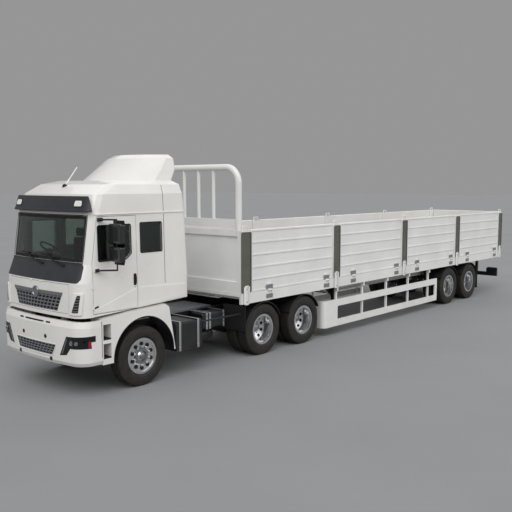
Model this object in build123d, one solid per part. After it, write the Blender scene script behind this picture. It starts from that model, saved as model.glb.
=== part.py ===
from build123d import *

import math
import os

# Articulated lorry: a 6x4 cab-over tractor unit and a two-axle semi-trailer
# with drop sides.  Millimetres, +Z up, the front faces -Y, the vehicle's left
# side is +X.  The origin lies on the ground under the middle of the whole lorry.

os.makedirs("parts", exist_ok=True)

# ---------------------------------------------------------------- stations
FRONT_OVERHANG = 1400.0      # bumper face to the front axle
WHEELBASE = 3120.0           # front axle to the first drive axle
DRIVE_SPREAD = 1350.0        # between the two drive axles
KINGPIN_SETBACK = 1370.0     # bed front to the kingpin
BED_LENGTH = 12640.0
TRAILER_WHEELBASE = 8310.0   # kingpin to the middle of the trailer axles
TRAILER_SPREAD = 1340.0

HINGE_OUT = 16.0             # drop-side hinge axis outside the bed edge
BARREL_RADIUS = 14.0
PIN_RADIUS = 8.0
PIN_FIT = 0.3                # radial clearance of a turning pin

LENGTH = (FRONT_OVERHANG + WHEELBASE + DRIVE_SPREAD / 2 - KINGPIN_SETBACK
          + BED_LENGTH + HINGE_OUT + BARREL_RADIUS)
FRONT_Y = -LENGTH / 2
AXLE_Y = FRONT_Y + FRONT_OVERHANG
DRIVE_Y = (AXLE_Y + WHEELBASE, AXLE_Y + WHEELBASE + DRIVE_SPREAD)
KINGPIN_Y = (DRIVE_Y[0] + DRIVE_Y[1]) / 2
BED_FRONT = KINGPIN_Y - KINGPIN_SETBACK
BED_REAR = BED_FRONT + BED_LENGTH
BOGIE_Y = KINGPIN_Y + TRAILER_WHEELBASE
TRAILER_Y = (BOGIE_Y - TRAILER_SPREAD / 2, BOGIE_Y + TRAILER_SPREAD / 2)

# ---------------------------------------------------------------- wheels
TYRE_RADIUS = 525.0
TYRE_WIDTH = 280.0
RIM_RADIUS = 286.0           # bead seat
RIM_WALL = 10.0
FLANGE_RADIUS = 315.0
BEAD_FIT = 0.5
FRONT_WHEEL_X = 1020.0       # middle of the front tyre
TWIN_OUTER_X = 1095.0        # middle of the outer twin tyre
TWIN_SPACING = 325.0
HAND_HOLES = 10
HAND_HOLE_RADIUS = 26.0
FRONT_SPINDLE_RADIUS = 35.0
AXLE_SPINDLE_RADIUS = 45.0
SPINDLE_END = 990.0
SPINDLE_FIT = 0.5
STEER_X = 860.0              # steering axis
STEER_PIN_RADIUS = 20.0

# ---------------------------------------------------------------- heights
RAIL_BOTTOM = 720.0
RAIL_TOP = 1000.0
FIFTH_WHEEL_Z = 1180.0       # top of the coupling plate
PLATE_GAP = 0.5
RAVE_BOTTOM = 1123.0
DECK_TOP = 1338.0
BOARD_TOP = 2584.0
POST_TOP = 2560.0
HOOP_TOP = 3889.0

KINGPIN_RADIUS = 25.4
KINGPIN_LENGTH = 84.0

# ---------------------------------------------------------------- widths
BED_HALF = 1250.0
RAIL_HALF = 425.0            # outside of the tractor's chassis rails
CAB_HALF = 1150.0
PLATE = 8.0                  # chassis plate thickness


# ================================================================ helpers
def block(x, y, z):
    """A box between pairs of limits."""
    size = [b - a for a, b in (x, y, z)]
    middle = [(a + b) / 2 for a, b in (x, y, z)]
    return Pos(*middle) * Box(*size)


def rod(radius, start, end):
    """A round bar from one point to another."""
    run = Vector(*end) - Vector(*start)
    return Solid.make_cylinder(radius, run.length, Plane(origin=start, z_dir=run))


def mirrored(shape):
    """The same shape on the other side of the vehicle."""
    return mirror(shape, about=Plane.YZ)


def side_prism(points, x):
    """A (y, z) outline carried across from one x to another."""
    outline = Polyline(*[(x[0], y, z) for y, z in points], close=True)
    return extrude(make_face(outline), amount=x[1] - x[0], dir=(1, 0, 0))


def front_prism(points, y):
    """An (x, z) outline carried along from one y to another."""
    outline = Polyline(*[(x, y[0], z) for x, z in points], close=True)
    return extrude(make_face(outline), amount=y[1] - y[0], dir=(0, 1, 0))


def turned(points, centre_y, centre_z):
    """An (x, radius) outline turned about an axle line across the vehicle."""
    outline = Polyline(*[(x, radius, 0) for x, radius in points], close=True)
    ring = revolve(make_face(outline), axis=Axis.X)
    return Pos(0, centre_y, centre_z) * ring


def ring(x, radii, centre_y, centre_z):
    """A plain ring between two x limits and two radii."""
    points = [(x[0], radii[0]), (x[1], radii[0]), (x[1], radii[1]), (x[0], radii[1])]
    return turned(points, centre_y, centre_z)


def fused(shapes):
    """All the shapes as one piece."""
    shapes = list(shapes)
    return shapes[0].fuse(*shapes[1:]) if len(shapes) > 1 else shapes[0]


def save(name, *shapes):
    """Write one named sub-part, which may have several solids."""
    solids = [solid for shape in shapes for solid in shape.solids()]
    export_step(Compound(children=solids), f"parts/{name}.step")


def from_axle(y):
    """A distance behind the front axle as a place on the lorry."""
    return AXLE_Y + y


# ================================================================ cab shape
# height, front at the middle, half width, rear, corner radius; y from the axle
CAB_SECTIONS = (
    (1345.0, -1340.0, 1150.0, 1100.0, 230.0),
    (1900.0, -1330.0, 1150.0, 1100.0, 230.0),
    (2200.0, -1205.0, 1145.0, 1090.0, 210.0),
    (3010.0, -1090.0, 1125.0, 1060.0, 190.0),
    (3330.0, -965.0, 1110.0, 1035.0, 180.0),
    (3490.0, -660.0, 1060.0, 1010.0, 160.0),
    (3555.0, -300.0, 950.0, 930.0, 150.0),
)
CAB_BOW = 90.0               # how far the front face bows out in plan
CAB_REAR_RADIUS = 70.0
CAB_WALL = 55.0
CAB_FLOOR = 1530.0           # top of the cab floor
CAB_SKIRT = ((-1350.0, 1345.0), (-1050.0, 1345.0), (1110.0, 1445.0))


def cab_section(height, front, half, rear, radius, inset):
    """One level of the cab in plan, drawn in by the inset."""
    half = half - inset
    corner = from_axle(front + CAB_BOW + inset)
    nose = from_axle(front + inset)
    back = from_axle(rear - inset)
    outline = [
        Line((half, back, height), (half, corner, height)),
        ThreePointArc((half, corner, height), (0, nose, height), (-half, corner, height)),
        Line((-half, corner, height), (-half, back, height)),
        Line((-half, back, height), (half, back, height)),
    ]
    face = make_face(outline)
    face = fillet(face.vertices().sort_by(Axis.Y)[:2], radius - inset)
    rear_corners = face.vertices().sort_by(Axis.Y)[-2:]
    return fillet(rear_corners, max(CAB_REAR_RADIUS - inset, 10.0))


def cab_volume(inset, bottom=None):
    """The cab's outer shape drawn in by an inset, on every side and the roof."""
    levels = []
    for height, front, half, rear, radius in CAB_SECTIONS:
        sink = inset if height > CAB_SECTIONS[3][0] else 0.0
        level = bottom if bottom and height == CAB_SECTIONS[0][0] else height - sink
        levels.append(cab_section(level, front, half, rear, radius, inset))
    return loft(levels, ruled=True)


# ================================================================ cab openings
DOOR_FRONT = -1010.0
DOOR_REAR = -90.0
DOOR_BOTTOM = 1385.0
DOOR_TOP = 2975.0
PILLAR_Z = 2210.0            # where the front pillar starts to lean back
PILLAR_LEAN = 120.0
DOOR_GAP = 8.0
DOOR_HINGES = (1500.0, 1840.0)
DOOR_BARREL = 8.0
DOOR_AXIS_X = CAB_HALF + 9.0
DOOR_LUG = 30.0
DOOR_PIN = 4.0
DOOR_WALL = 50.0
GLASS = 5.0
GLASS_SET = 16.0             # glass behind the outer skin
GLASS_FIT = 0.3
DOOR_WINDOW = ((-880.0, 2250.0), (-330.0, 2250.0), (-215.0, 2340.0),
               (-215.0, 2820.0), (-880.0, 2820.0))
REAR_WINDOW = ((0.0, 2335.0), (468.0, 2335.0), (468.0, 2835.0), (0.0, 2835.0))
SCREEN_HALF = 1030.0
SCREEN_Z = (2235.0, 2985.0)
FLAP_HALF = 880.0
FLAP_Z = (1405.0, 1890.0)
FLAP_WALL = 28.0
FLAP_GAP = 7.0
FLAP_HINGE_X = 150.0
FLAP_BARREL = 6.0
FLAP_PIN = 3.0
TUNNEL_HALF = 380.0
TUNNEL_TOP = 1800.0
TUNNEL_WALL = 40.0
TUNNEL_Y = (-1000.0, 760.0)
TILT_Y = -1250.0             # cab tilt axis, from the front axle
TILT_Z = 1150.0
TILT_EYE = 30.0
TILT_ARM_X = (460.0, 500.0)
TILT_PIN_RADIUS = 18.0


def drawn_in(points, inset):
    """A flat face on the given corners, its outline drawn in by the inset."""
    wire = Wire.make_polygon([Vector(*point) for point in points], close=True)
    if inset:
        wire = wire.offset_2d(-inset, kind=Kind.INTERSECTION)
    return make_face(wire.edges())


def side_opening(points, inset=0.0, x=(900.0, 1300.0)):
    """A prism through the left side for an outline measured from the axle."""
    face = drawn_in([(x[0], from_axle(y), z) for y, z in points], inset)
    return extrude(face, amount=x[1] - x[0], dir=(1, 0, 0))


def door_limits(gap):
    """The left door's outline, drawn in by the gap round it."""
    corners = ((DOOR_FRONT, DOOR_BOTTOM), (DOOR_REAR, DOOR_BOTTOM), (DOOR_REAR, DOOR_TOP),
               (DOOR_FRONT + PILLAR_LEAN, DOOR_TOP), (DOOR_FRONT, PILLAR_Z))
    return side_opening(corners, gap)


def door_barrels(on_door):
    """The left door's hinge barrels, on the door or on the pillar, with the pins."""
    x = DOOR_AXIS_X
    y = from_axle(DOOR_FRONT) + DOOR_GAP / 2
    pieces = []
    for z in DOOR_HINGES:
        start = z if on_door else z - DOOR_LUG
        barrel = rod(DOOR_BARREL, (x, y, start), (x, y, start + DOOR_LUG))
        side = (y, y + DOOR_LUG) if on_door else (y - DOOR_LUG, y)
        leaf = block((CAB_HALF - 12, x), side, (start, start + DOOR_LUG))
        piece = barrel + leaf
        pin = rod(DOOR_PIN, (x, y, z - DOOR_LUG), (x, y, z + DOOR_LUG - 2))
        if on_door:
            bore = rod(DOOR_PIN + PIN_FIT, (x, y, z - 1), (x, y, z + DOOR_LUG + 1))
            pieces.append(piece - bore)
        else:
            pieces += [piece, pin]
    return pieces


def flap_barrels(on_flap):
    """The front flap's hinge barrels, on the flap or on the cab, with the pins."""
    y = from_axle(CAB_SECTIONS[1][1]) - FLAP_BARREL - 2
    z = FLAP_Z[1] - FLAP_GAP / 2
    pieces = []
    for side in (-1, 1):
        middle = side * FLAP_HINGE_X
        reach_out = -side if on_flap else side
        x = sorted((middle, middle + reach_out * DOOR_LUG))
        barrel = rod(FLAP_BARREL, (x[0], y, z), (x[1], y, z))
        reach = (z - FLAP_GAP / 2 - 10, z) if on_flap else (z, z + FLAP_GAP / 2 + 10)
        leaf = block(x, (y, y + FLAP_BARREL + 14), reach)
        piece = barrel + leaf
        if on_flap:
            ends = (middle - side * (DOOR_LUG + 1), middle + side)
            pieces.append(piece - rod(FLAP_PIN + PIN_FIT, (min(ends), y, z), (max(ends), y, z)))
        else:
            ends = (middle - side * (DOOR_LUG - 2), middle + side * 5)
            pieces += [piece, rod(FLAP_PIN, (min(ends), y, z), (max(ends), y, z))]
    return pieces


def screen_prism(inset):
    """The windscreen's outline, from in front of the cab to behind the glass."""
    y = (from_axle(-1500), from_axle(-700))
    return block((-SCREEN_HALF + inset, SCREEN_HALF - inset), y,
                 (SCREEN_Z[0] + inset, SCREEN_Z[1] - inset))


def flap_prism(inset):
    """The front flap's outline."""
    y = (from_axle(-1500), from_axle(-900))
    return block((-FLAP_HALF + inset, FLAP_HALF - inset), y,
                 (FLAP_Z[0] + inset, FLAP_Z[1] - inset))


def skirt_cut():
    """What lies below the cab's sloping lower edge."""
    points = [(from_axle(y), z) for y, z in CAB_SKIRT]
    points += [(points[-1][0], 1200), (points[0][0], 1200)]
    return side_prism(points, (-1300, 1300))


def tilt_arms():
    """Arms from the cab floor forward and down to the tilt axis."""
    y = from_axle(TILT_Y)
    arms = []
    for side in (-1, 1):
        x = sorted(side * v for v in TILT_ARM_X)
        arm = side_prism([(y - 15, TILT_Z + 26), (y + 15, TILT_Z - 26), (y + 330, 1365),
                          (y + 200, 1365)], x)
        eye = rod(TILT_EYE, (x[0], y, TILT_Z), (x[1], y, TILT_Z))
        bore = rod(TILT_PIN_RADIUS + PIN_FIT, (x[0] - 1, y, TILT_Z), (x[1] + 1, y, TILT_Z))
        arms.append(arm + eye - bore)
    return arms


OUTER = cab_volume(0.0)
INNER = cab_volume(CAB_WALL, CAB_FLOOR)
CLEAR_INNER = cab_volume(CAB_WALL + 0.3, CAB_FLOOR)


def skin(outer_inset, inner_inset):
    """A shell of the cab between two insets."""
    outer = cab_volume(outer_inset) if outer_inset else OUTER
    return outer - cab_volume(inner_inset)


def cab_shell():
    """The hollow cab with its floor, engine tunnel and openings."""
    tunnel_y = (from_axle(TUNNEL_Y[0]), from_axle(TUNNEL_Y[1]))
    hump = block((-TUNNEL_HALF, TUNNEL_HALF), (tunnel_y[0] - TUNNEL_WALL, tunnel_y[1] + TUNNEL_WALL),
                 (CAB_FLOOR - 10, TUNNEL_TOP))
    cavity = block((-TUNNEL_HALF + TUNNEL_WALL, TUNNEL_HALF - TUNNEL_WALL), tunnel_y,
                   (1300, TUNNEL_TOP - TUNNEL_WALL))
    shell = OUTER - INNER - skirt_cut()
    shell = shell + hump - cavity
    for opening in (door_limits(0), side_opening(REAR_WINDOW)):
        shell = shell - opening - mirrored(opening)
    shell = shell - screen_prism(0)
    shell = shell - (flap_prism(0) - cab_volume(FLAP_WALL + FLAP_GAP))
    lugs = door_barrels(False)
    lugs += [mirrored(lug) for lug in lugs]
    return fused([shell] + tilt_arms() + lugs + flap_barrels(False))


def windscreen():
    """The bowed windscreen."""
    return skin(GLASS_SET, GLASS_SET + GLASS) & screen_prism(GLASS_FIT)


def cab_side_glass():
    """The fixed pane behind the left door."""
    return skin(GLASS_SET, GLASS_SET + GLASS) & side_opening(REAR_WINDOW, GLASS_FIT)


def front_flap():
    """The service flap with the shallow recess that holds the grille."""
    flap = skin(0.0, FLAP_WALL) & flap_prism(FLAP_GAP)
    grille = front_prism(((-720, 1727), (720, 1727), (590, 1431), (-590, 1431)),
                         (from_axle(-1500), from_axle(-1100)))
    recess = grille - cab_volume(12.0)
    return fused([flap - recess] + flap_barrels(True))


VISOR_Z = (3045.0, 3300.0)
VISOR_REAR = -985.0


def sun_visor():
    """The visor ahead of the screen's top, on a bracket at each end."""
    y = (from_axle(-1300), from_axle(VISOR_REAR))
    band = skin(-75.0, -45.0) & block((-1300, 1300), y, VISOR_Z)
    bridge = skin(-50.0, 0.0) & block((880, 1060), y, (VISOR_Z[0] + 75, VISOR_Z[1] - 80))
    return fused([band, bridge, mirrored(bridge)])


DEFLECTOR_SECTIONS = (  # height, nose, bow, half width, rear; y from the axle
    (3555.0, -130.0, 640.0, 930.0, 925.0),
    (3760.0, 150.0, 560.0, 880.0, 1070.0),
    (3960.0, 430.0, 440.0, 825.0, 1085.0),
    (4030.0, 600.0, 320.0, 735.0, 1045.0),
)
DEFLECTOR_CORNER = 60.0
DEFLECTOR_WALL = 8.0


def deflector_volume(inset):
    """The roof deflector's shape drawn in by an inset."""
    levels = []
    for height, nose, bow, half, rear in DEFLECTOR_SECTIONS:
        top = height == DEFLECTOR_SECTIONS[-1][0]
        z = height - (inset if top else 0.0)
        half = half - inset
        front = from_axle(nose + inset)
        back = from_axle(rear - inset)
        outline = [
            Line((half, back, z), (half, front + bow, z)),
            ThreePointArc((half, front + bow, z), (0, front, z), (-half, front + bow, z)),
            Line((-half, front + bow, z), (-half, back, z)),
            Line((-half, back, z), (half, back, z)),
        ]
        face = make_face(outline)
        corners = face.vertices().sort_by(Axis.Y)[-2:]
        levels.append(fillet(corners, DEFLECTOR_CORNER - inset))
    return loft(levels, ruled=True)


def roof_deflector():
    """The hollow wind deflector, open underneath."""
    base = DEFLECTOR_SECTIONS[0][0]
    below = block((-1000, 1000), (from_axle(-400), from_axle(1200)), (base - 50, base))
    return deflector_volume(0.0) - Pos(0, 0, -0.5) * deflector_volume(DEFLECTOR_WALL) - below


# ================================================================ cab inside
def cab_dashboard():
    """Dashboard with the steering wheel on the right-hand side."""
    desk = block((-1100, 1100), (from_axle(-1300), from_axle(-800)), (1960, 2180))
    foot = block((-1100, 1100), (from_axle(-1300), from_axle(-1040)), (CAB_FLOOR, 1980))
    desk = (desk + foot) & CLEAR_INNER
    wheel_x = -500.0
    tilt = math.radians(40)
    centre = (wheel_x, from_axle(-690), 2330)
    lean = (0.0, -math.sin(tilt), -math.cos(tilt))
    rim = Solid.make_torus(225, 17, Plane(origin=centre, z_dir=lean))
    reach = [c + 300 * d for c, d in zip(centre, lean)]
    column = rod(38, centre, reach)
    spokes = [rod(14, centre, (wheel_x + side * 222, centre[1], centre[2])) for side in (-1, 1)]
    return fused([desk, rim, column] + spokes)


def cab_seats():
    """Two seats on their bases, and the bunk behind them."""
    pieces = []
    for side in (-1, 1):
        middle = side * 690.0
        base = block((middle - 200, middle + 200), (from_axle(-350), from_axle(60)), (CAB_FLOOR, 1850))
        cushion = block((middle - 250, middle + 250), (from_axle(-420), from_axle(110)), (1850, 1980))
        back = block((middle - 245, middle + 245), (from_axle(20), from_axle(150)), (1980, 2680))
        pieces.append(fused([base, cushion, back]))
    bunk = block((-1080, 1080), (from_axle(330), from_axle(990)), (TUNNEL_TOP, 2030))
    legs = [block((side * 700 - 260, side * 700 + 260), (from_axle(380), from_axle(990)),
                  (CAB_FLOOR, TUNNEL_TOP)) for side in (-1, 1)]
    pieces.append(fused([bunk & CLEAR_INNER] + [leg & CLEAR_INNER for leg in legs]))
    return pieces


# ================================================================ doors
def door_panel():
    """The left door with its window, and the mirror arm and heads it carries."""
    panel = skin(0.0, DOOR_WALL) & door_limits(DOOR_GAP)
    panel = panel - side_opening(DOOR_WINDOW)
    return fused([panel] + door_barrels(True) + mirror_parts())


MIRROR_X = 1370.0            # the mirror tube's upright
MIRROR_Y = -680.0
MIRROR_TUBE = 13.0
MIRROR_HEADS = ((165.0, 2530.0, 2860.0), (150.0, 2240.0, 2490.0))
MIRROR_FEET = ((-850.0, 2925.0), (-945.0, 2105.0))


def mirror_parts():
    """A bent tube from two feet on the door, with a large and a small head."""
    y_arm = from_axle(MIRROR_Y)
    parts = []
    for y_foot, z in MIRROR_FEET:
        y = from_axle(y_foot)
        foot = block((CAB_HALF - 60, CAB_HALF + 25), (y - 30, y + 45), (z - 25, z + 25))
        parts.append(foot - cab_volume(2.0))
        parts.append(rod(MIRROR_TUBE, (CAB_HALF + 10, y + 10, z), (MIRROR_X, y_arm, z)))
        parts.append(Pos(MIRROR_X, y_arm, z) * Sphere(MIRROR_TUBE))
    foot_z, top_z = MIRROR_FEET[1][1], MIRROR_FEET[0][1]
    parts.append(rod(MIRROR_TUBE, (MIRROR_X, y_arm, foot_z), (MIRROR_X, y_arm, top_z)))
    for half, low, high in MIRROR_HEADS:
        head = block((MIRROR_X - half, MIRROR_X + half), (y_arm - 50, y_arm + 45), (low, high))
        head = fillet(head.edges().filter_by(Axis.Y), 40)
        parts.append(fillet(head.edges().group_by(Axis.Y)[0], 22))
    return parts


def door_glass():
    """The door's pane."""
    return skin(GLASS_SET, GLASS_SET + GLASS) & side_opening(DOOR_WINDOW, GLASS_FIT)


# ================================================================ tractor front
BUMPER_SECTIONS = (  # height, front, half width, corner radius
    (560.0, -1365.0, 1190.0, 250.0),
    (620.0, -1395.0, 1215.0, 260.0),
    (1190.0, -1400.0, 1215.0, 260.0),
    (1290.0, -1370.0, 1205.0, 250.0),
)
BUMPER_BOW = 110.0
BUMPER_REAR = -890.0
BUMPER_WALL = 45.0


def bumper_volume(inset):
    """The bumper's outer shape drawn in by an inset."""
    levels = []
    for height, front, half, radius in BUMPER_SECTIONS:
        half = half - inset
        corner = from_axle(front + BUMPER_BOW + inset)
        nose = from_axle(front + inset)
        back = from_axle(BUMPER_REAR)
        outline = [
            Line((half, back, height), (half, corner, height)),
            ThreePointArc((half, corner, height), (0, nose, height), (-half, corner, height)),
            Line((-half, corner, height), (-half, back, height)),
            Line((-half, back, height), (half, back, height)),
        ]
        face = make_face(outline)
        levels.append(fillet(face.vertices().sort_by(Axis.Y)[:2], radius - inset))
    return loft(levels, ruled=True)


LAMP_FIT = 0.5
LAMP_OUTLINE = ((830.0, 940.0), (770.0, 860.0), (850.0, 850.0), (905.0, 950.0),
                (1260.0, 962.0), (1260.0, 1060.0), (860.0, 1045.0))


def lamp_prism(inset):
    """The lamp's L-shaped outline on the bumper's left corner."""
    face = drawn_in([(x, from_axle(-1500), z) for x, z in LAMP_OUTLINE], inset)
    return extrude(face, amount=480, dir=(0, 1, 0))


def front_bumper():
    """The bumper skin with its lower grille, lamp pockets and stay."""
    shell = bumper_volume(0.0) - bumper_volume(BUMPER_WALL)
    grille = front_prism(((-599, 875), (599, 875), (495, 697), (-495, 697)),
                         (from_axle(-1500), from_axle(-1100)))
    pocket = lamp_prism(0.0) & bumper_volume(-5.0)
    shell = shell - grille - pocket - mirrored(pocket)
    stay = block((-1180, 1180), (from_axle(-1355), from_axle(-1305)), (1060, 1160))
    stay = stay & bumper_volume(BUMPER_WALL - 10)
    horns = [block(sorted((side * 330, side * 405)), (from_axle(-1320), from_axle(-1080)), (RAIL_TOP, 1070))
             for side in (-1, 1)]
    return fused([shell, stay] + horns)


def head_lamp():
    """The left lamp, filling its pocket."""
    body = bumper_volume(2.0) - bumper_volume(BUMPER_WALL)
    return body & lamp_prism(LAMP_FIT)


FENDER_X = (900.0, 1215.0)
FENDER_SIDE = 22.0
ARCH_Z = 565.0
ARCH_RADIUS = 660.0
ARCH_WALL = 14.0
STEP_REAR = -700.0
STEP_FRONT = -885.0
STEP_BOTTOM = 545.0
FENDER_TOP = ((STEP_FRONT, 1305.0), (-600.0, 1325.0), (-250.0, 1360.0), (480.0, 1385.0), (560.0, 1330.0))
STEP_POCKETS = ((640.0, 890.0), (950.0, 1210.0))


def front_fender():
    """The left wheel arch with the entry steps ahead of it."""
    centre = from_axle(0)
    foot = from_axle(700)
    outline = [(from_axle(y), z) for y, z in FENDER_TOP]
    outline += [(foot, STEP_BOTTOM), (from_axle(STEP_FRONT), STEP_BOTTOM)]
    body = side_prism(outline, FENDER_X)
    arch = Pos(0, centre, ARCH_Z) * (Rot(0, 90, 0) * Cylinder(ARCH_RADIUS, 4000))
    below = block((800, 1300), (centre - ARCH_RADIUS, centre + ARCH_RADIUS), (400, ARCH_Z))
    body = body - arch - below
    over_arch = Pos(0, centre, ARCH_Z) * (Rot(0, 90, 0) * Cylinder(ARCH_RADIUS + ARCH_WALL, 4000))
    hollow_top = side_prism([(from_axle(y), z - 14) for y, z in FENDER_TOP]
                            + [(foot - 20, ARCH_Z), (from_axle(STEP_REAR), ARCH_Z),
                               (from_axle(STEP_REAR), 1300)],
                            (FENDER_X[0] - 1, FENDER_X[1] - FENDER_SIDE))
    body = body - (hollow_top - over_arch)
    for low, high in STEP_POCKETS:
        body = body - block((980, 1230), (from_axle(STEP_FRONT) + 14, from_axle(STEP_REAR) - 14), (low, high))
    stay_front = block((RAIL_HALF, FENDER_X[0] + 20), (from_axle(STEP_FRONT) + 30, from_axle(STEP_REAR) - 60),
                       (900, 940))
    return max(fused([body, stay_front]).solids(), key=lambda solid: solid.volume)


# ================================================================ tractor chassis
FRAME_FRONT = -1180.0
FRAME_REAR = KINGPIN_Y + 1230.0
RAIL_FLANGE = 80.0
END_PLATE = 12.0
LATCH_Y = (from_axle(880.0), from_axle(960.0))
LATCH_TOP = 1424.0


def channel(side, y, z):
    """A chassis rail: a channel with its flanges inwards."""
    outer = block(sorted((side * RAIL_HALF, side * (RAIL_HALF - RAIL_FLANGE))), y, z)
    inner = block(sorted((side * (RAIL_HALF - PLATE), side * (RAIL_HALF - RAIL_FLANGE - 1))), y,
                  (z[0] + PLATE, z[1] - PLATE))
    return outer - inner


CROSS_Y = (from_axle(-1080), from_axle(1450), from_axle(2250), KINGPIN_Y - 60, FRAME_REAR - 60)


def chassis_rail(side):
    """One rail with its cab tilt bracket and the post of the cab latch."""
    rail = channel(side, (from_axle(FRAME_FRONT), FRAME_REAR - END_PLATE), (RAIL_BOTTOM, RAIL_TOP))
    tilt_y = from_axle(TILT_Y)
    arm_x = sorted((side * (RAIL_HALF - 10), side * (TILT_ARM_X[0] - 5)))
    arm = block(arm_x, (tilt_y - 30, tilt_y + 160), (RAIL_TOP - 110, TILT_Z + 30))
    pin = rod(TILT_PIN_RADIUS, (side * (RAIL_HALF - 10), tilt_y, TILT_Z),
              (side * (TILT_ARM_X[1] + 12), tilt_y, TILT_Z))
    latch = block(sorted((side * (RAIL_HALF - 95), side * RAIL_HALF)), LATCH_Y, (RAIL_TOP, LATCH_TOP))
    return fused([rail, arm, pin, latch])


def tractor_frame():
    """Two rails, the cross members between them and the rear plate with its lamps."""
    half = RAIL_HALF - PLATE
    pieces = [chassis_rail(side) for side in (-1, 1)]
    for cross in CROSS_Y:
        pieces.append(block((-half, half), (cross - 30, cross + 30), (RAIL_BOTTOM + 120, RAIL_TOP - PLATE)))
    plate = [block((-610, 610), (FRAME_REAR - END_PLATE, FRAME_REAR), (800, 940))]
    for side in (-1, 1):
        lamp_x = sorted((side * 440, side * 600))
        plate.append(block(lamp_x, (FRAME_REAR - 40, FRAME_REAR - END_PLATE), (815, 925)))
    return pieces + [fused(plate)]


def leaf_spring(x, half, z_end, z_mid, thick):
    """An arched pack of leaves."""
    y = from_axle(0)
    points = [(y - half, z_end), (y, z_mid), (y + half, z_end)]
    top = [(py, pz + thick) for py, pz in reversed(points)]
    return side_prism(points + top, x)


def front_axle():
    """The dropped beam with its steering bosses, springs and hangers."""
    y = from_axle(0)
    beam = block((-330, 330), (y - 45, y + 45), (410, 500))
    pieces = [beam]
    for side in (-1, 1):
        points = [(side * 320, 410), (side * 480, 410), (side * 800, 480), (side * 800, 570),
                  (side * 470, 510), (side * 320, 500)]
        pieces.append(front_prism(points, (y - 45, y + 45)))
        boss = Pos(side * STEER_X, y, 525) * Cylinder(50, 90)
        arm = block(sorted((side * 790, side * STEER_X)), (y - 40, y + 40), (482, 568))
        pieces += [boss, arm]
        x = sorted((side * 345, side * 425))
        pieces.append(leaf_spring(x, 800, 600, 512, 45))
        pieces.append(block(x, (y - 60, y + 60), (490, 540)))
        for end in (-1, 1):
            pieces.append(block(x, sorted((y + end * 800, y + end * 740)), (590, RAIL_BOTTOM)))
    axle = fused(pieces)
    for side in (-1, 1):
        axle = axle - Pos(side * STEER_X, y, 525) * Cylinder(STEER_PIN_RADIUS + PIN_FIT, 200)
    return axle


PROP_START = from_axle(1180)


def axle_tube(y, radius, housing):
    """An axle tube with a spindle at each end and a housing in the middle."""
    shoulder = TWIN_OUTER_X - TWIN_SPACING - TYRE_WIDTH / 2 - 20
    half = [(SPINDLE_END, AXLE_SPINDLE_RADIUS), (shoulder, AXLE_SPINDLE_RADIUS), (shoulder, radius)]
    if housing:
        half += [(260, radius), (150, housing)]
    mirror_half = [(-x, r) for x, r in reversed(half)]
    return turned([(SPINDLE_END, 0)] + half + mirror_half + [(-SPINDLE_END, 0)], y, TYRE_RADIUS)


def drive_axles():
    """Both driven axles with their differentials, springs and propeller shafts."""
    z = TYRE_RADIUS
    pieces = []
    for y in DRIVE_Y:
        pieces.append(axle_tube(y, 75.0, 210.0))
        pieces.append(rod(90, (0, y - 330, z + 20), (0, y, z + 20)))
    pieces.append(rod(50, (0, PROP_START, 700), (0, PROP_START + 80, 700)))
    pieces.append(rod(50, (0, PROP_START + 60, 700), (0, DRIVE_Y[0] - 300, z + 20)))
    pieces.append(rod(50, (0, DRIVE_Y[0], z + 60), (0, DRIVE_Y[1] - 300, z + 20)))
    for side in (-1, 1):
        x = sorted((side * 470, side * 550))
        pieces.append(side_prism([(DRIVE_Y[0] - 60, 600), (KINGPIN_Y, 690), (DRIVE_Y[1] + 60, 600),
                                  (DRIVE_Y[1] + 60, 650), (KINGPIN_Y, 790), (DRIVE_Y[0] - 60, 650)], x))
        for y in DRIVE_Y:
            pieces.append(block(x, (y - 60, y + 60), (560, 630)))
        saddle = block(sorted((side * RAIL_HALF, side * 550)), (KINGPIN_Y - 120, KINGPIN_Y + 120), (680, 860))
        pieces.append(saddle)
    trunnion = rod(60, (-470, KINGPIN_Y, 660), (470, KINGPIN_Y, 660))
    pieces.append(trunnion)
    return fused(pieces)


def engine_block():
    """The engine and its gearbox as plain blocks, on four mounts."""
    engine = block((-315, 315), (from_axle(-880), from_axle(330)), (640, 1640))
    gearbox = block((-210, 210), (from_axle(330), PROP_START), (600, 1040))
    sump_cut = block((-400, 400), (from_axle(-95), from_axle(95)), (600, 730))
    mounts = [block(sorted((side * 300, side * (RAIL_HALF - PLATE))), (from_axle(y) - 40, from_axle(y) + 40),
                    (830, 900)) for side in (-1, 1) for y in (-600, 200)]
    return fused([engine - sump_cut, gearbox] + mounts)


TANK_STRAP = 6.0


def strapped_box(x, y, z, straps):
    """A box tank on the chassis side, held by L-shaped straps."""
    tank = block(x, y, z)
    tank = fillet(tank.edges().filter_by(Axis.Y), 45)
    pieces = [tank]
    for strap_y in straps:
        pieces.append(block((RAIL_HALF, x[1]), (strap_y - 24, strap_y + 24), (z[1], z[1] + TANK_STRAP + 8)))
        pieces.append(block((x[1], x[1] + TANK_STRAP), (strap_y - 24, strap_y + 24), (z[0] - 8, z[1] + 14)))
    bearer_z = (RAIL_BOTTOM + 20, RAIL_BOTTOM + 160)
    for strap_y in straps:
        pieces.append(block((RAIL_HALF, x[0] + 10), (strap_y - 24, strap_y + 24), bearer_z))
    return fused(pieces)


def chassis_tanks():
    """The box tanks along both rails and the air tanks behind them."""
    pieces = []
    left = strapped_box((560, 1180), (from_axle(755), from_axle(1400)), (470, 990),
                        [from_axle(840), from_axle(1295)])
    rear = strapped_box((560, 900), (from_axle(1690), from_axle(2300)), (690, 990),
                        [from_axle(1800), from_axle(1885), from_axle(2270)])
    fuel = strapped_box((560, 1180), (from_axle(755), from_axle(2150)), (470, 990),
                        [from_axle(900), from_axle(1450), from_axle(2000)])
    pieces += [left, rear, mirrored(fuel)]
    return pieces


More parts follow.
